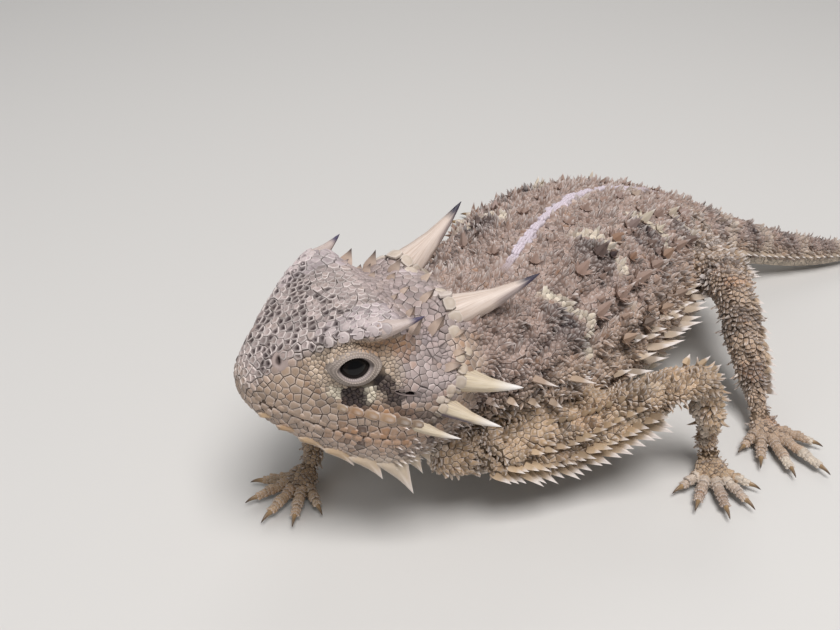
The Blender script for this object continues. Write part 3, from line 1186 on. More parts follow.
def folded(skin, points):
    """Presses soft folds into the neck, flanks and limbs, and writes them back to the skin."""
    normals = np.empty(len(points) * 3)
    skin.data.vertices.foreach_get("normal", normals)
    normals = normals.reshape(-1, 3)
    at, angle, deep = body_place(points)
    x, _, z = head_place(points)
    soft = smooth_step(20.2, 21.5, x) * smooth_step(0.4, 3.0, points[:, 2])
    off = np.abs(across_share(angle))
    sides = 0.3 + 0.7 * smooth_step(0.2, 0.5, off)
    depth = -(0.34 + 0.40 * smooth_step(25, 14, at)) * soft * sides * (0.6 - fold_wave(points, at, off)) * smooth_step(70, 50, at)
    depth += 0.12 * patchy(points, 1.3, 33) * soft
    points = points + normals * np.clip(depth, -1.1, 0.10)[:, None]
    skin.data.vertices.foreach_set("co", placed(points).ravel())
    skin.data.update()
    return points


def kept(piece, material):
    """The last steps of every piece: its finish and what it rides on."""
    piece.data.materials.clear()
    piece.data.materials.append(material)
    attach(piece, "root")
    return piece


# ---- Making the animal
SKIN, SCALES, CLAWS, EYE = skin_finish(), scale_finish(), claw_finish(), eye_finish()
CROWN_HORN = horn_finish("crown_horn", tone(212, 195, 183), tone(176, 152, 134), tone(50, 45, 62), 0.84, 8.0)
BROW_HORN = horn_finish("brow_horn", tone(190, 174, 168), tone(160, 138, 124), tone(74, 66, 92), 0.74, 6.0)
CHEEK_HORN = horn_finish("cheek_horn", tone(212, 197, 172), tone(160, 138, 110), tone(234, 229, 226), 0.66, 3.0)
FLESH = ["head", "neck", "torso", "tail_base", "tail_tip"] + [
    f"{part}_{side}" for part in ("upper_arm", "forearm", "hand", "thigh", "shin", "foot")
    for side in ("left", "right")]

skin = make_skin()
skin_points, skin_corners = skin_arrays(skin)
skin_points = folded(skin, skin_points)
SURFACE = BVHTree.FromPolygons([Vector(p) for p in skin_points], [tuple(int(i) for i in t) for t in skin_corners])


def digit_roots():
    """Each limb's digits: root over the floor, direction, length and radius."""
    found = {}
    for name, (joints, way, digits) in LIMBS.items():
        heading = unit(way)
        side = np.array([-heading[1], heading[0]])
        found[name] = []
        for angle, length, radius in digits:
            turn = math.radians(angle)
            out = heading * math.cos(turn) + side * math.sin(turn)
            found[name].append((np.array(joints[-1][0])[:2] + heading * 2.4 + side * math.sin(turn), out, length, radius))
    return found


DIGITS = digit_roots()


def cheek_row(x):
    """Height of the row of keeled shields under the eye and the ear."""
    return -0.75 - 0.22 * (x - 8.0)


def clear_of_features(points):
    """True where the plain run of scales may stand, away from eyes, lips, nostrils, ears and horns."""
    x, y, z = head_place(points)
    side = np.abs(y)
    on_head = (x < 20.8) & (side < 12)
    lids = (np.hypot((x - 9.2) / 2.45, (z - 2.9) / 1.75) < 0.95) & (side > 4)
    lips = (np.abs(z - along(MOUTH_HEIGHT, x)) < 0.48) & (x < 13.2) & (x > 2.1)
    nostril = (np.hypot(x - NOSTRIL_PLACE[0] - 0.15, z - NOSTRIL_PLACE[2]) < 0.85) & (side > 1.8)
    ear = (np.hypot((x - EAR_PLACE[0]) / 1.15, (z - EAR_PLACE[2]) / 0.5) < 1.0) & (side > 7)
    clear = ~(on_head & (lids | lips | nostril | ear))
    for name, (foot_, tip, radius) in HORNS.items():
        for mirror in (1, -1):
            base, end = (head_point(*(np.array(p) * (1, mirror, 1))) for p in (foot_, tip))
            share = np.clip((points - base) @ (end - base) / np.sum((end - base) ** 2), 0, 0.7)
            room = 0.86
            clear &= np.linalg.norm(points - base - share[:, None] * (end - base), axis=1) > radius * room * (1 - share)
    for spots in DIGITS.values():
        for root, way, length, radius in spots:
            share = np.clip((points[:, :2] - root) @ way / length, 0.42, 1.1)
            far = np.linalg.norm(points[:, :2] - root - share[:, None] * length * way, axis=1)
            clear &= (far > radius * 1.15) | (points[:, 2] > 1.6)
    at, angle, _ = body_place(points)
    ridge = (np.abs(angle - math.pi / 2) * along(HALF_WIDTH, at) < 0.62) & (at > STRIPE[0]) & (at < STRIPE[1])
    return clear & ~(ridge & ~on_head & (points[:, 2] > 14)) & (points[:, 2] > 0.25)


seeds = settle(skin_points, skin_corners, clear_of_features, 4)
seeds, seed_normals = nearest_on(SURFACE, seeds)
owner, ways, spacing, height, keel, _ = lie_and_size(seeds)

COAT_NAMES = {0: "head_scales", 1: "shoulder_scales", 2: "limb_scales", 3: "belly_scales", 4: "rump_scales"}
coats = {number: Coat() for number in COAT_NAMES}
seeds_at, seeds_angle, _ = body_place(seeds)
seed_paint = paint(seeds)
rough = patchy(seeds, 1.4, 12)
lot = RNG.random((len(seeds), 3))
for i, (polygon, x_way, y_way) in enumerate(cells(seeds, seed_normals, ways, spacing)):
    polygon = tidy_polygon(polygon, 0.16 * spacing[i])
    if len(polygon) < 3:
        continue
    pit, high, ridge, dark, spiny = 0.0, height[i], keel[i], 0.0, False
    if owner[i] == 0:
        x, y, z = (float(v[0]) for v in head_place(seeds[i:i + 1]))
        crown = z > float(along(BROW_HEIGHT, x)) - 0.9
        pit = 0.55 + 0.5 * lot[i, 0] if crown and x < 12.5 else 0.12
        high *= 1.25 if crown and x < 12.5 else 1.0
        if crown and lot[i, 2] < 0.9 * bump_at(x, 5.9, 2.6, 1.6) * smooth_step(-0.5, 0.1, rough[i]):
            dark = 1.0
        which = 0
        spiny = x > 12.8 and -8.0 < z < -2.4
    elif seed_paint[i, 7] > 0.6:
        which = 3
    else:
        which = (1 if seeds_at[i] < 27 else 4) if owner[i] == 1 else 2
        if lot[i, 0] > 0.92:
            high, ridge = high * 3.4, 1.5
        elif lot[i, 0] > 0.74:
            high, ridge = high * 2.1, 1.2
        spiny = owner[i] == 1 and seeds_at[i] < 5 and abs(across_share(seeds_angle[i])) > 0.85
        if seed_paint[i, 5] > 0.6 and owner[i] == 1:
            high, ridge = 0.16, 0.2
    plate(coats[which], seeds[i], seed_normals[i], polygon, x_way, y_way, high, ridge, pit, lot[i, 1], dark)
    if spiny and lot[i, 2] < 0.42:
        size = 0.5 + 0.55 * lot[i, 0]
        leaf(coats[which], seeds[i], x_way + 0.9 * seed_normals[i], y_way, size, 0.20, 0.16, 0.05, lot[i, 1], 0.25)
for which, coat in coats.items():
    coat.finish(COAT_NAMES[which], SCALES)

skin.name = skin.data.name = "skin_surface"


# ---- Horns
def make_horns():
    for mirror, word in ((1, "left"), (-1, "right")):
        for name in HORNS:
            rings = horn_rings(name, mirror)
            sides = len(rings[0])
            piece = loft(f"{name}_{word}_piece", rings)
            piece.data.shade_smooth()
            points = own_points(piece)
            count = len(points)
            begin, end = np.mean(rings[0], axis=0), np.mean(rings[-1], axis=0)
            way = unit(end - begin)
            share = (points - begin) @ way / np.linalg.norm(end - begin)
            side = unit(np.cross(way, UPWARD))
            over = np.cross(side, way)
            turn = np.arctan2((points - begin) @ over, (points - begin) @ side)
            grain = np.stack([np.cos(turn), np.sin(turn), share], axis=1)
            layer = piece.data.attributes.new("grain", "FLOAT_VECTOR", "POINT")
            layer.data.foreach_set("vector", grain.astype(np.float32).ravel())
            band, under = np.zeros((count, 4)), -np.sin(turn)
            if name == "horn_temporal_2":
                band[:, 0] = 0.9 * smooth_step(0.0, 0.3, under - 0.7 * share) * bump_at(share, 0.26, 0.24, 0.16)
            if name == "horn_occipital":
                band[:, 0] = 0.45 * smooth_step(-0.1, 0.4, under) * bump_at(share, 0.74, 0.16, 0.16)
            layer = piece.data.attributes.new("band", "FLOAT_COLOR", "POINT")
            layer.data.foreach_set("color", band.astype(np.float32).ravel())
            kept(piece, {"horn_occipital": CROWN_HORN, "horn_brow": BROW_HORN}.get(name, CHEEK_HORN))
            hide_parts(f"{name}_{word}")


# ---- Eyes and lids
def make_eye(mirror, word):
    centre, back, out, up = eye_frame(mirror)
    ball = ellipsoid(centre, (back, up, out), (1.80, 1.80, 1.86), 64, 48)
    ball.name = ball.data.name = f"eyeball_{word}"
    turned_out(ball)
    ball.data.shade_smooth()
    points = own_points(ball) - centre
    count = len(points)
    across = np.hypot(points @ back, points @ up) / 1.8 + (points @ out < 0)
    layer = ball.data.attributes.new("gaze", "FLOAT_COLOR", "POINT")
    block = np.stack([across, across, across, np.ones(count)], axis=1)
    layer.data.foreach_set("color", block.astype(np.float32).ravel())
    kept(ball, EYE)
    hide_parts(f"eye_{word}")


def almond(turn, half_long, half_high, point):
    """An eye's outline: round in the middle, drawn to a corner at each end."""
    c, s = math.cos(turn), math.sin(turn)
    return half_long * c, half_high * s * (1 - point * abs(c) ** 3)


def make_lids(mirror, word):
    centre, back, out, up = eye_frame(mirror)
    tilt = math.radians(13)
    along_eye, over_eye = back * math.cos(tilt) + up * math.sin(tilt), up * math.cos(tilt) - back * math.sin(tilt)
    turns, steps = 240, 21
    points, faces, edges = [], [], []
    for j in range(steps):
        share = j / (steps - 1)
        for k in range(turns):
            turn = 2 * math.pi * k / turns
            a, b = almond(turn, 1.30 + 1.30 * share, 0.92 + 0.83 * share, 0.20 + 0.18 * share)
            spot = centre + along_eye * a + over_eye * b
            hit = SURFACE.ray_cast(Vector(spot + out * 6), Vector(-out))[0]
            top = np.dot(np.array(hit) - centre, out) if hit is not None else 2.0
            ball = math.sqrt(max(1.86 ** 2 - a * a - b * b, 0.3))
            rim = float(smooth_step(0.0, 0.35, share))
            high = (ball + 0.02) * (1 - rim) + (top + 0.16) * rim + 0.10 * math.sin(math.pi * min(share * 1.6, 1.0))
            high -= 0.42 * float(smooth_step(0.84, 1.0, share))
            rows = math.sin(share * math.pi * 5) ** 2
            grains = abs(math.sin(turn * 24 + (math.pi / 2 if int(share * 5) % 2 else 0)))
            high += 0.11 * rows * grains * (1 - share ** 6) * float(smooth_step(0.05, 0.2, share))
            points.append(spot + out * high)
            edges.append(1 - rows * grains)
    for j in range(steps - 1):
        for k in range(turns):
            a, b = j * turns + k, j * turns + (k + 1) % turns
            faces.append((a, b, b + turns, a + turns))
    inner = [(centre + (np.array(points[k]) - centre) * 0.86) for k in range(turns)]
    first = len(points)
    points += inner
    edges += [1.0] * turns
    faces += [(first + k, first + (k + 1) % turns, (k + 1) % turns, k) for k in range(turns)]
    lids = mesh_piece(f"eyelids_{word}", placed(points), faces)
    lids.data.shade_smooth()
    middle = lids.data.polygons[len(lids.data.polygons) // 2]
    if np.dot(np.array(middle.normal), out) < 0:
        lids.data.flip_normals()
    values = paint(np.array(points))
    share = np.concatenate([np.repeat(np.linspace(0, 1, steps), turns), np.zeros(turns)])
    values[:, :] = 0
    values[:, 4], values[:, 1], values[:, 5] = 0.6, 0.3, 0.25 * bump_at(share, 0.14, 0.06, 0.05)
    values[:, 0] = np.clip(0.95 * smooth_step(0.84, 0.93, share) + 0.9 * smooth_step(0.08, 0.0, share)
                           + 0.28 * np.array(edges), 0, 1)
    marks = np.stack([0.75 - 0.75 * np.array(edges), np.zeros(len(points)), np.zeros(len(points)),
                      np.zeros(len(points))], axis=1)
    set_paint(lids, values, marks)
    kept(lids, SCALES)


# ---- Spines
def head_out(x, y, z):
    """Direction out of the head at a place given in the head's frame."""
    place, normal, _, _ = SURFACE.find_nearest(Vector(head_point(x, y, z)))
    return np.array(place), np.array(normal)


def shield(coat, root, back, down, mirror, length, half):
    """A flat pointed shield of the jaw's edge: a long front edge, a short hind edge and a drawn-out tip."""
    down = unit(down - np.dot(down, back) * back)
    out = unit(np.cross(back, down)) * mirror
    out = out if np.dot(out, LEFTWARD * mirror) > 0 else -out
    outline = np.array(((-1.05, -0.45), (-0.35, -0.6), (0.5, -0.6), (1.0, -0.35), (1.02, 0.25), (1.08, 0.62),
                        (1.16, 1.0), (0.72, 0.72), (0.22, 0.45), (-0.35, 0.2), (-0.85, 0.0)))
    flat = outline * (half, length)
    flat[outline[:, 1] < 0, 1] = outline[outline[:, 1] < 0, 1] * 0.9
    middle = np.array([0.25 * half, 0.12 * length])
    rings, edges, tips = [], [], []
    low = np.clip(outline[:, 1], 0, 1)
    for size, lift, edge in ((1.0, -0.05, 1.0), (0.93, 0.10, 0.9), (0.62, 0.26, 0.0), (0.93, -0.18, 0.6)):
        xy = middle + (flat - middle) * size
        rings.append(root + xy[:, :1] * back + xy[:, 1:] * down + out * lift * (1 - 0.55 * low[:, None]))
        edges += [edge] * len(flat)
        tips += list(0.6 * smooth_step(0.6, 1.05, low) + 0.16 * edge * (low > 0))
    top = root + back * middle[0] + down * middle[1]
    points = np.vstack([*rings, (top + out * 0.33)[None], (top - out * 0.3)[None]])
    n = len(flat)
    faces = []
    for first, second in ((3, 0), (0, 1), (1, 2)):
        faces += [(first * n + k, first * n + (k + 1) % n, second * n + (k + 1) % n, second * n + k) for k in range(n)]
    faces += [(2 * n + k, 2 * n + (k + 1) % n, 4 * n) for k in range(n)]
    faces += [(3 * n + (k + 1) % n, 3 * n + k, 4 * n + 1) for k in range(n)]
    if np.dot(np.cross(points[2 * n + 1] - points[2 * n], points[4 * n] - points[2 * n]), out) < 0:
        faces = [face[::-1] for face in faces]
    spread = np.vstack([flat, flat * 0.95, flat * 0.6, flat * 0.9, [[0, 0], [0, 0]]]) / np.abs(flat).max()
    coat.add(root, points, faces, np.array(edges + [0.0, 0.0]), np.array(tips + [0.1, 0.0]),
             np.zeros(len(points)), RNG.uniform(0.4, 0.7), spread)


def make_head_spines():
    coat = Coat()
    for mirror in (1, -1):
        for x, length, half in ((3.0, 0.5, 0.8), (4.5, 0.8, 0.95), (6.3, 1.2, 1.1), (8.4, 1.65, 1.25),
                                (10.6, 2.2, 1.4), (13.0, 3.2, 1.55), (15.0, 1.5, 0.8), (16.3, 1.2, 0.65)):
            y, z = float(along(JAW_WIDTH, x)) * 0.95, float(along(JAW_HEIGHT, x))
            shield(coat, head_point(x, mirror * y, z + 0.45), head_way(1, 0.25 * mirror, 0.1),
                   head_way(0.16, 0.42 * mirror, -0.9), mirror, length, half)
    shields = coat.finish("chin_shields", SCALES, (0, 0.1, 0.95, 0, 0, 0, 0.06, 0))
    coat = Coat()
    leaf(coat, head_point(19.0, 0.0, 6.5), head_way(0.8, 0.0, 0.6), LEFTWARD, 1.3, 0.6, 0.45, 0, 0.6, 0.6)
    for mirror in (1, -1):
        for x, y, z, way, length, half in (
                (14.0, 6.4, 5.6, (0.55, 0.25, 0.8), 1.7, 0.95), (16.6, 6.3, 5.3, (0.45, 0.2, 0.9), 1.9, 0.85),
                (17.4, 3.0, 6.6, (0.6, 0.1, 0.7), 1.5, 0.7), (17.0, 9.2, 3.0, (0.7, 0.8, 0.55), 1.3, 0.7),
                (15.4, 4.3, 6.2, (0.5, 0.1, 0.8), 1.1, 0.6), (18.6, 7.2, 4.9, (0.7, 0.5, 0.5), 1.0, 0.55),
                (18.1, 8.4, 3.7, (0.7, 0.7, 0.4), 1.0, 0.55), (14.8, 2.2, 6.7, (0.6, 0.1, 0.7), 0.8, 0.45),
                (16.2, 1.3, 6.7, (0.7, 0.1, 0.6), 0.9, 0.5), (12.9, 4.4, 6.8, (0.7, 0.1, 0.5), 0.7, 0.4)):
            leaf(coat, head_out(x, mirror * y, z)[0], head_way(way[0], way[1] * mirror, way[2]),
                 head_way(-0.3, 1 * mirror, 0), length, half, 0.9 * half, 0.08, RNG.uniform(0.3, 0.7), 0.45, 1.0)
    crown = coat.finish("head_spines", SCALES, (0, 0.25, 0.1, 0.2, 0.1, 0, 0.3, 0))
    coat = Coat()
    for mirror in (1, -1):
        for x, long, high in ((8.0, 0.60, 0.44), (9.1, 0.70, 0.52), (10.3, 0.78, 0.58), (11.6, 0.82, 0.60),
                              (12.9, 0.80, 0.56), (14.1, 0.66, 0.48)):
            spot, out = head_out(x, mirror * float(along(CHEEK_WIDTH, x)), cheek_row(x))
            lie = head_way(1, 0.1 * mirror, -0.22)
            lie = unit(lie - np.dot(lie, out) * out)
            shape = [(-long, -0.8 * high), (0.1 * long, -high), (0.85 * long, -0.8 * high), (1.12 * long, -0.1 * high),
                     (0.85 * long, 0.8 * high), (0.1 * long, high), (-long, 0.8 * high), (-1.05 * long, 0)]
            plate(coat, spot + 0.08 * out, out, shape, lie, np.cross(out, lie), 0.16, 0.9, 0.0, RNG.uniform(0.3, 0.6))
    coat.finish("cheek_shields", SCALES, (0, 0.1, 0.75, 0, 0, 0, 0.22, 0))
    coat = Coat()
    for mirror in (1, -1):
        for row, (spread_out, lift) in enumerate(((1.0, -0.28), (0.84, 0.08))):
            for x in np.arange(6.9 + 0.5 * row, 11.4, 1.02):
                y, z = float(along(BROW_WIDTH, x)) * spread_out, float(along(BROW_HEIGHT, x)) + lift
                spot, out = head_out(x, mirror * y, z)
                lie = head_point(x + 0.5, mirror * float(along(BROW_WIDTH, x + 0.5)) * spread_out,
                                 float(along(BROW_HEIGHT, x + 0.5)) + lift) - head_point(x, mirror * y, z)
                lie = unit(lie - np.dot(lie, out) * out)
                half = 0.52 - 0.04 * row
                shape = [(-0.52, -0.7 * half), (-0.2, -half), (0.35, -half), (0.62, -0.3 * half), (0.62, 0.4 * half),
                         (0.3, half), (-0.25, half), (-0.55, 0.5 * half)]
                plate(coat, spot + 0.07 * out, out, shape, lie, np.cross(out, lie), 0.13, 0.5, 0.0, RNG.uniform(0.35, 0.75))
    coat.finish("brow_shields", SCALES, (0, 0.15, 0, 0, 0.6, 0.1, 0, 0))
    return shields, crown


def clear_of_limbs(point, room=1.6):
    for line, radii in LIMB_LINES.values():
        if np.min(np.linalg.norm(line - point, axis=1) - radii) < room:
            return False
    return True


def make_body_spines():
    fringe, back_coat = Coat(), Coat()
    for side in (0.0, math.pi):
        sign = 1 if side == 0.0 else -1
        for height, first, last, count, length, half in (
                (0.03, 9.0, 42.0, 21, 2.5, 0.78), (-0.42, 12.0, 40.0, 17, 1.6, 0.58),
                (0.22, 12.0, 40.0, 15, 1.3, 0.52)):
            for at in np.linspace(first, last, count):
                at = at + RNG.uniform(-0.5, 0.5)
                root = body_point(at, side + (height + RNG.uniform(-0.06, 0.06)) * sign, -0.1)
                if not clear_of_limbs(root, 1.2):
                    continue
                out = unit(root - np.array([*spine(at)[0], root[2]]))
                lie = unit(np.array([*(body_point(at + 1, side + height * sign) - root)[:2], 0.0]))
                size = length * RNG.uniform(0.8, 1.15) * float(np.interp(at, (9, 14, 36, 42), (0.6, 1, 1, 0.7)))
                leaf(fringe, root, out + 0.75 * lie + (0, 0, 0.22) + 0.14 * RNG.standard_normal(3), lie, size, half, 0.36,
                     0.06, RNG.uniform(0.2, 0.8), 0.3)
        for at in np.linspace(53.6, 84.0, 26):
            root = body_point(at, side, -0.05)
            out = unit(root - np.array([*spine(at)[0], root[2]]))
            lie = unit(body_point(at + 1, side) - root)
            size = float(np.interp(at, (52.8, 84.0), (1.9, 0.6))) * RNG.uniform(0.85, 1.1)
            leaf(fringe, root, out + 0.9 * lie + (0, 0, 0.1), lie, size, 0.42, 0.26, 0.05, RNG.uniform(0.3, 0.8), 0.35)
    rows = ((0.12, 1.2, 0.40), (0.34, 1.9, 0.55), (0.57, 2.1, 0.58), (0.79, 1.9, 0.52))
    for row, (share, length, half) in enumerate(rows):
        for mirror in (1, -1):
            for at in np.arange(9.2 + 2.4 * (row % 2), 51.0, 4.8):
                set_back_spine(back_coat, at, share, mirror, length, half)
                for _ in range(2):
                    set_back_spine(back_coat, at + RNG.uniform(1.2, 3.6), share + RNG.uniform(-0.11, 0.11), mirror,
                                   length * RNG.uniform(0.35, 0.6), half * 0.6)
    for share in (0.3, 0.62):
        for mirror in (1, -1):
            for at in np.arange(54.5, 80.0, 3.0):
                scale = float(np.interp(at, (52, 82), (0.8, 0.3)))
                set_back_spine(back_coat, at, share, mirror, 1.3 * scale, 0.5 * scale)
    return fringe.finish("fringe_spines", SCALES, (0, 0.35, 0, 0, 0, 0, 0, 0)), back_coat.finish("back_spines", SCALES)


def set_back_spine(coat, at, share, mirror, length, half):
    """A broad keeled spine of the back, with a rosette of small pointed scales round its foot."""
    angle = math.pi / 2 - mirror * share * math.pi / 2
    root = body_point(at, angle, -0.1)
    if not clear_of_limbs(root, 1.4):
        return
    out = root - np.array([*spine(at)[0], 7.0])
    lie = unit(body_point(at + 1, angle) - root)
    length = length * RNG.uniform(0.75, 1.15)
    side = unit(np.cross(lie, out))
    leaf(coat, root, unit(out) + 0.95 * lie + 0.18 * RNG.standard_normal(3), side, length, half, half * 0.85,
         0.10, RNG.uniform(0.1, 0.7), 0.62, 0.35 * (RNG.random() < 0.5))
    if length < 1.0:
        return
    for k in range(9):
        turn = 2 * math.pi * (k + 0.5 * RNG.random()) / 9
        ray = lie * math.cos(turn) + side * math.sin(turn)
        leaf(coat, root + ray * half * 1.0, unit(out) * 0.8 + ray + 0.3 * lie, np.cross(ray, unit(out)),
             half * RNG.uniform(1.2, 2.0), half * 0.45, half * 0.32, 0.1, RNG.uniform(0.2, 0.9), 0.6)


ARM_EDGES = ((0.0, 0.53, 26, (-0.75, -0.6, -0.55), 2.3, 0.62, 0.9, 0.3), (0.02, 0.53, 24, (-0.82, -0.6, -0.15), 1.5, 0.5, 1.0, 0.4),
             (0.12, 0.5, 14, (-0.9, -0.3, 0.3), 1.2, 0.45, 1.2, 0.45), (0.62, 0.93, 12, (0.9, -0.45, 0.2), 1.3, 0.42, 0.7, 0.35),
             (0.2, 0.5, 12, (0.1, -0.5, 0.9), 0.9, 0.42, 1.3, 0.6))
LEG_EDGES = ((0.28, 0.52, 10, (0.4, -1.0, 0.3), 1.7, 0.5, 0.5, 0.3), (0.3, 0.55, 9, (0.7, -0.3, 0.8), 1.2, 0.45, 0.8, 0.4),
             (0.64, 0.94, 12, (0.8, -0.7, 0.2), 1.5, 0.46, 0.6, 0.3), (0.62, 0.9, 8, (0.6, 0.3, 0.7), 0.9, 0.4, 0.8, 0.5))


def make_limb_spines():
    coat = Coat()
    for name, (line, radii) in LIMB_LINES.items():
        for first, last, count, side, length, half, lean, pale in (ARM_EDGES if name[:3] == "arm" else LEG_EDGES):
            side = np.array(side, float) * ((1, -1, 1) if name.endswith("right") else 1)
            for share in np.linspace(first, last, count):
                share = share + RNG.uniform(-0.006, 0.006)
                at = np.clip(share, 0, 1) * (len(line) - 1)
                i = min(int(at), len(line) - 2)
                middle = line[i] + (line[i + 1] - line[i]) * (at - i)
                way = unit(line[i + 1] - line[i])
                out = unit(side - np.dot(side, way) * way)
                root = middle + out * float(np.interp(at, range(len(radii)), radii)) * 0.90
                x, y, z = (float(v[0]) for v in head_place(root[None]))
                inside = x < 20 and math.hypot(y / float(along(CHEEK_WIDTH, x)), z / 8) < 1.0
                if inside or body_place(root[None])[2][0] < 0.97:
                    continue
                size = length * RNG.uniform(0.8, 1.15)
                leaf(coat, root, out + lean * way, way, size, half, 0.34, 0.06, RNG.uniform(0.3, 0.8), pale)
    return coat.finish("limb_spines", SCALES, (0, 0.15, 0, 0, 0, 0, 0, 0))


def make_neck_spines():
    coat = Coat()
    rings = neck_rings(44, 9)
    for mirror in (1, -1):
        for share, length, half in ((0.36, 2.0, 0.62), (0.33, 1.2, 0.45), (0.22, 2.4, 0.65), (0.28, 1.3, 0.5), (0.41, 1.2, 0.45)):
            for ring in (1, 2, 3, 4, 5, 6, 7):
                points = np.array(rings[ring])
                k = round(share * 44) if mirror > 0 else 44 - round(share * 44)
                if share == 0.22 and ring not in (3, 5):
                    continue
                root = points[k % 44]
                if not clear_of_limbs(root, 0.9):
                    continue
                out = unit(root - points.mean(axis=0))
                lie = unit(np.mean(rings[ring + 1], axis=0) - np.mean(rings[ring], axis=0))
                leaf(coat, root - out * 0.15, out + 0.6 * lie, lie, length * RNG.uniform(0.8, 1.1), half, 0.4, 0.06,
                     RNG.uniform(0.3, 0.8), 0.4)
    return coat.finish("neck_spines", SCALES, (0, 0.15, 0, 0, 0, 0, 0, 0))


# ---- The pale ridge along the spine, the horns' collars and the rims of nostrils and ears
def make_stripe():
    coat = Coat()
    for number, at in enumerate(np.arange(STRIPE[0], STRIPE[1], 0.46)):
        place, normal = nearest_on(SURFACE, [body_point(at, math.pi / 2)])
        place, normal = place[0], normal[0]
        lie = unit(body_point(at + 0.5, math.pi / 2) - body_point(at - 0.5, math.pi / 2))
        lie = unit(lie - np.dot(lie, normal) * normal)
        side = np.cross(normal, lie)
        wide = float(np.interp(at, (6, 12, 36, 50), (0.75, 1.0, 0.9, 0.5)))
        for off in (-0.33, 0.0, 0.33):
            half = wide * (0.24 if off == 0 else 0.20)
            spot = place + side * off * wide + lie * 0.22 * (off != 0) + normal * (0.16 if off == 0 else 0.08)
            shape = [(-0.30, -half * 0.8), (-0.02, -half), (0.24, -half * 0.8), (0.31, 0), (0.24, half * 0.8),
                     (-0.02, half), (-0.30, half * 0.8), (-0.33, 0)]
            plate(coat, spot, normal, shape, lie, side, 0.20, 0.15, 0.0, RNG.uniform(0.35, 0.6))
    return coat.finish("stripe_scales", SCALES)


def clear_of_horns(point):
    """True where a plate of the collar would not stand in a neighbouring horn."""
    for foot_, tip, radius in HORNS.values():
        for mirror in (1, -1):
            if np.linalg.norm(head_point(*(np.array(foot_) * (1, mirror, 1))) - point) < radius * 1.15:
                return False
    return True


def make_collars():
    """Rings of large pale plates round the feet of the great horns."""
    coat = Coat()
    for name in COLLARED:
        foot_, tip, radius = HORNS[name]
        for mirror in (1, -1):
            rings = horn_rings(name, mirror, 12)
            base = np.mean(rings[1], axis=0)
            way = unit(np.mean(rings[6], axis=0) - base)
            count = 8 if name == "horn_occipital" else 7
            side = unit(np.cross(way, UPWARD))
            over = np.cross(side, way)
            for k in range(count):
                turn = 2 * math.pi * (k + 0.3) / count
                ray = side * math.cos(turn) + over * math.sin(turn)
                half = math.pi * radius * 1.14 / count * 0.96
                long = 0.36 * radius + 0.06 * math.sin(5 * turn)
                shape = [(-long, -half * 0.8), (0, -half), (long * 0.8, -half * 0.7), (long, 0), (long * 0.8, half * 0.7),
                         (0, half), (-long, half * 0.8), (-long * 1.1, 0)]
                spot = base + ray * radius * 1.03 + way * (long * 0.25 + 0.1 * math.sin(3 * turn))
                out = unit(ray + 0.22 * way)
                lie = unit(way - np.dot(way, out) * out)
                plate(coat, spot, out, shape, lie, np.cross(out, lie), 0.17, 0.35, 0.0, RNG.uniform(0.4, 0.75))
                bent = turn + math.pi / count
                ray = side * math.cos(bent) + over * math.sin(bent)
                spot = base + ray * radius * 1.5 - way * radius * 0.25
                place, normal = nearest_on(SURFACE, [spot])
                place, normal = place[0], normal[0]
                if np.linalg.norm(place - spot) < 0.9 * radius and clear_of_horns(place):
                    out = unit(normal + 0.3 * ray)
                    lie = unit(way - np.dot(way, out) * out)
                    plate(coat, place + 0.1 * normal, out, [(a * 0.95, b * 0.9) for a, b in shape], lie,
                          np.cross(out, lie), 0.2, 0.35, 0.0, RNG.uniform(0.35, 0.75))
    return coat.finish("horn_collars", SCALES, (0, 0.45, 0.4, 0, 0.1, 0, 0.1, 0))


def rim(name, spot, out, back, long, high, thick):
    """A smooth raised rim round an opening, standing on the skin."""
    up = np.cross(out, back)
    points, faces, turns = [], [], 40
    section = ((-0.10, -0.45), (0.0, -0.02), (0.30, 0.16), (0.75, 0.15), (1.0, 0.02), (1.08, -0.3))
    for share, lift in section:
        for k in range(turns):
            a = 2 * math.pi * k / turns
            spot_k = (spot + back * ((long + thick * share) * math.cos(a) + 0.34 * thick * max(share, 0.0))
                      + up * (high + thick * share) * math.sin(a))
            place, normal, _, _ = SURFACE.find_nearest(Vector(spot_k))
            points.append(np.array(place) + out * lift)
    for r in range(len(section) - 1):
        for k in range(turns):
            a, b = r * turns + k, r * turns + (k + 1) % turns
            faces.append((a, b, b + turns, a + turns))
    piece = mesh_piece(name, placed(points), faces)
    if np.dot(np.array(piece.data.polygons[2 * turns].normal), out) < 0:
        piece.data.flip_normals()
    piece.data.shade_smooth()
    values = np.zeros((len(points), 8))
    share = np.repeat([s for s, _ in section], turns)
    values[:, 4], values[:, 2] = 0.6, 0.3
    values[:, 0] = 0.9 * smooth_step(0.1, -0.05, share) + 0.55 * smooth_step(0.95, 1.05, share) + 0.4 * (thick < 0.3)
    set_paint(piece, values, np.tile((0.6, 0.0, 0.0, 0.0), (len(points), 1)))
    return kept(piece, SCALES)


def open_features(mirror, word):
    """Cuts the nostril and the ear's slit into the skin and sets their rims."""
    for name, place, sizes, thick in (("nostril", NOSTRIL_PLACE, (0.17, 0.34), 0.82), ("ear", EAR_PLACE, (0.95, 0.19), 0.15)):
        spot, out = head_out(place[0], place[1] * mirror, place[2])
        tilt = (0.9, 0.5 * mirror, 0.1) if name == "nostril" else (1.0, 0.15 * mirror, -0.16)
        back = head_way(*tilt)
        back = unit(back - np.dot(back, out) * out)
        up = np.cross(out, back)
        cut(skin, ellipsoid(spot - out * 0.1, (back, up, out), (sizes[0] + 0.05, sizes[1] + 0.05, 0.75), 24, 16))
        rim(f"{name}_rim_{word}", spot, out, back, *sizes, thick)


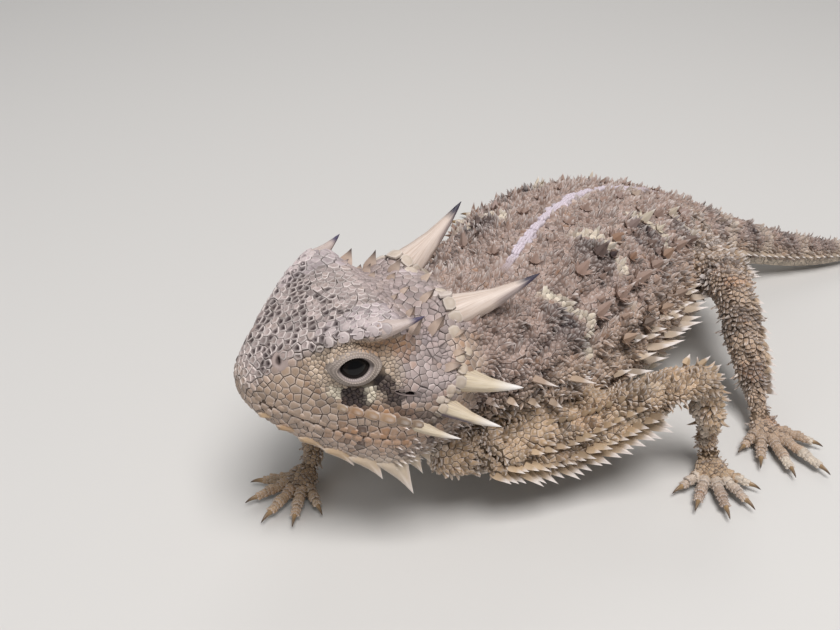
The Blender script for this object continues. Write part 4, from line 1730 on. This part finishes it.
# ---- Lips
def make_lips():
    coat = Coat()
    for mirror in (1, -1):
        for row, lift in ((0, 0.36), (1, -0.36)):
            for at in np.arange(2.2, 13.2, 0.78):
                x = at + 0.39 * row
                y, z = head_half_section(x)[8]
                spot, out = head_out(x, mirror * y, z + lift)
                way = unit(head_point(x + 0.4, mirror * head_half_section(x + 0.4)[8][0], head_half_section(x + 0.4)[8][1])
                           - head_point(x, mirror * y, z))
                way = unit(way - np.dot(way, out) * out)
                up = np.cross(out, way)
                shape = [(-0.40, -0.32), (0.0, -0.35), (0.40, -0.32), (0.40, 0.32), (0.0, 0.35), (-0.40, 0.32)]
                plate(coat, spot, out, shape, way, up, 0.17, 0.1, 0.0, RNG.uniform(0.2, 0.9))
    return coat.finish("lip_scales", SCALES)


# ---- Scales of the digits, in rings, each with a small comb down its sides
def make_toe_scales():
    coat = Coat()
    for spots in DIGITS.values():
        for root, out, length, radius in spots:
            out = np.array([*out, 0.0])
            across = np.cross((0, 0, 1), out)
            for number, share in enumerate(np.arange(0.16, 0.985, 0.36 / length)):
                joint = 1 + 0.12 * math.cos(share * 6 * math.pi)
                size = radius * (1.06 - 0.36 * share) * joint - 0.03
                high = (1.2 + 0.25 * math.sin(share * math.pi) - 0.5 * share) * joint
                if share > 0.93:
                    size, high = size * 0.85, high * 0.9
                middle = np.array([*(root + out[:2] * length * share), 0.0])
                for step in (-2, -1, 0, 1, 2):
                    a = math.pi / 2 + math.radians(44) * (step + 0.25 * (number % 2) * (-1 if step > 0 else 1))
                    spot = middle + across * size * math.cos(a) + np.array([0, 0, high * (0.5 + 0.5 * math.sin(a)) * 0.92 + 0.08])
                    normal = unit(across * math.cos(a) / size + np.array([0, 0, 1]) * math.sin(a) / (high * 0.46))
                    lie = unit(out - np.dot(out, normal) * normal)
                    w = 0.25 * (size + high * 0.5)
                    shape = [(-0.22, -w), (0.14, -w), (0.30, 0.0), (0.14, w), (-0.22, w)]
                    plate(coat, spot, normal, shape, lie, np.cross(normal, lie), 0.085, 0.5, 0.0, RNG.uniform(0.2, 0.9))
                    if abs(step) == 2:
                        leaf(coat, spot - normal * 0.05, normal + 0.7 * out + (0, 0, -0.1), out, 0.36, 0.13, 0.10, 0.0,
                             RNG.uniform(0.3, 0.8), 0.6)
    return coat.finish("toe_scales", SCALES)


# ---- Claws
def make_claws():
    for name, (joints, way, digits) in LIMBS.items():
        ankle = np.array(joints[-1][0])
        heading = unit((way[0], way[1], 0.0))
        side = np.cross((0, 0, 1), heading)
        deselect()
        points, faces, marks = [], [], []
        for angle, length, radius in digits:
            turn = math.radians(angle)
            out = heading * math.cos(turn) + side * math.sin(turn)
            root = (ankle + heading * 2.4 + side * math.sin(turn) + out * length * 0.93) * (1, 1, 0)
            across = np.cross((0, 0, 1), out)
            first = len(points)
            for share in np.linspace(0, 1, 10):
                size = 0.30 * (1 - share) ** 0.7 + 0.02
                centre = root + out * (CLAW_LENGTH + length * 0.07) * share + np.array(
                    [0, 0, 0.42 + 0.28 * math.sin(share * 2.4) - 0.42 * share])
                for a in 2 * math.pi * np.arange(10) / 10:
                    points.append(centre + size * (across * 0.85 * math.cos(a) + np.array([0, 0, 1.1]) * math.sin(a)))
                    marks.append((share, 0, 0, 0))
            for r in range(9):
                for k in range(10):
                    a, b = first + r * 10 + k, first + r * 10 + (k + 1) % 10
                    faces.append((a, b, b + 10, a + 10))
            faces.append(tuple(first + k for k in range(9, -1, -1)))
            faces.append(tuple(first + 90 + k for k in range(10)))
        claws = turned_out(mesh_piece(f"claws_{name}", placed(np.maximum(points, (-1e9, -1e9, 0.02))), faces))
        claws.data.shade_smooth()
        set_paint(claws, np.zeros((len(claws.data.vertices), 8)), np.array(marks)[:len(claws.data.vertices)])
        kept(claws, CLAWS)


make_horns()
for mirror, word in ((1, "left"), (-1, "right")):
    make_eye(mirror, word)
    make_lids(mirror, word)
    open_features(mirror, word)
    centre, back, out, up = eye_frame(mirror)
    cut(skin, ellipsoid(centre + out * 1.9, (back, up, out), (2.0, 1.36, 1.9), 32, 24))
skin.data.shade_smooth()
set_paint(skin, paint(own_points(skin)), np.tile((0.5, 0.0, 0.0, 0.0), (len(skin.data.vertices), 1)))
kept(skin, SKIN)
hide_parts(*FLESH)
make_head_spines()
make_body_spines()
make_limb_spines()
make_neck_spines()
make_lips()
make_stripe()
make_collars()
make_toe_scales()
make_claws()


# ---- Stage, light and camera
def make_stage():
    deselect()
    bpy.ops.mesh.primitive_plane_add(size=3.0, location=(0, 0, 0))
    floor = bpy.context.object
    floor.name = "floor"
    finish = Finish("floor", Roughness=0.9)
    soft = finish.noise(3.0, 2.0)
    floor.data.materials.append(finish.feed(Base_Color=finish.blend(soft, tone(205, 203, 200), tone(212, 210, 207))))
    world = bpy.data.worlds.new("studio")
    bpy.context.scene.world = world
    world.use_nodes = True
    sky = world.node_tree.nodes["Background"]
    sky.inputs[0].default_value, sky.inputs[1].default_value = (0.93, 0.96, 1.0, 1.0), 0.20
    for name, place, size, power, colour in (
            ("key", (-0.10, -0.12, 0.40), 0.20, 1.75, (1.0, 0.98, 0.97)),
            ("fill", (-0.35, 0.25, 0.25), 0.35, 0.26, (0.92, 0.96, 1.0)),
            ("rim", (0.30, 0.22, 0.30), 0.25, 0.36, (1.0, 0.98, 0.96))):
        light = bpy.data.lights.new(name, "AREA")
        light.energy, light.size, light.color = power, size, colour
        lamp = bpy.data.objects.new(name, light)
        lamp.location = place
        lamp.rotation_euler = (-Vector(place)).to_track_quat("-Z", "Y").to_euler()
        bpy.context.scene.collection.objects.link(lamp)


def make_camera():
    yaw, pitch = math.radians(38.0), math.radians(-32.68)
    way = Vector((math.cos(yaw) * math.cos(pitch), math.sin(yaw) * math.cos(pitch), math.sin(pitch)))
    data = bpy.data.cameras.new("camera")
    data.lens, data.sensor_width, data.clip_start = 40.07, 36.0, 0.005
    camera = bpy.data.objects.new("camera", data)
    camera.location = placed((-64.03, -42.35, 69.09))
    camera.rotation_euler = way.to_track_quat("-Z", "Y").to_euler()
    bpy.context.scene.collection.objects.link(camera)
    bpy.context.scene.camera = camera


make_stage()
make_camera()
bpy.context.scene.view_settings.view_transform = "Standard"
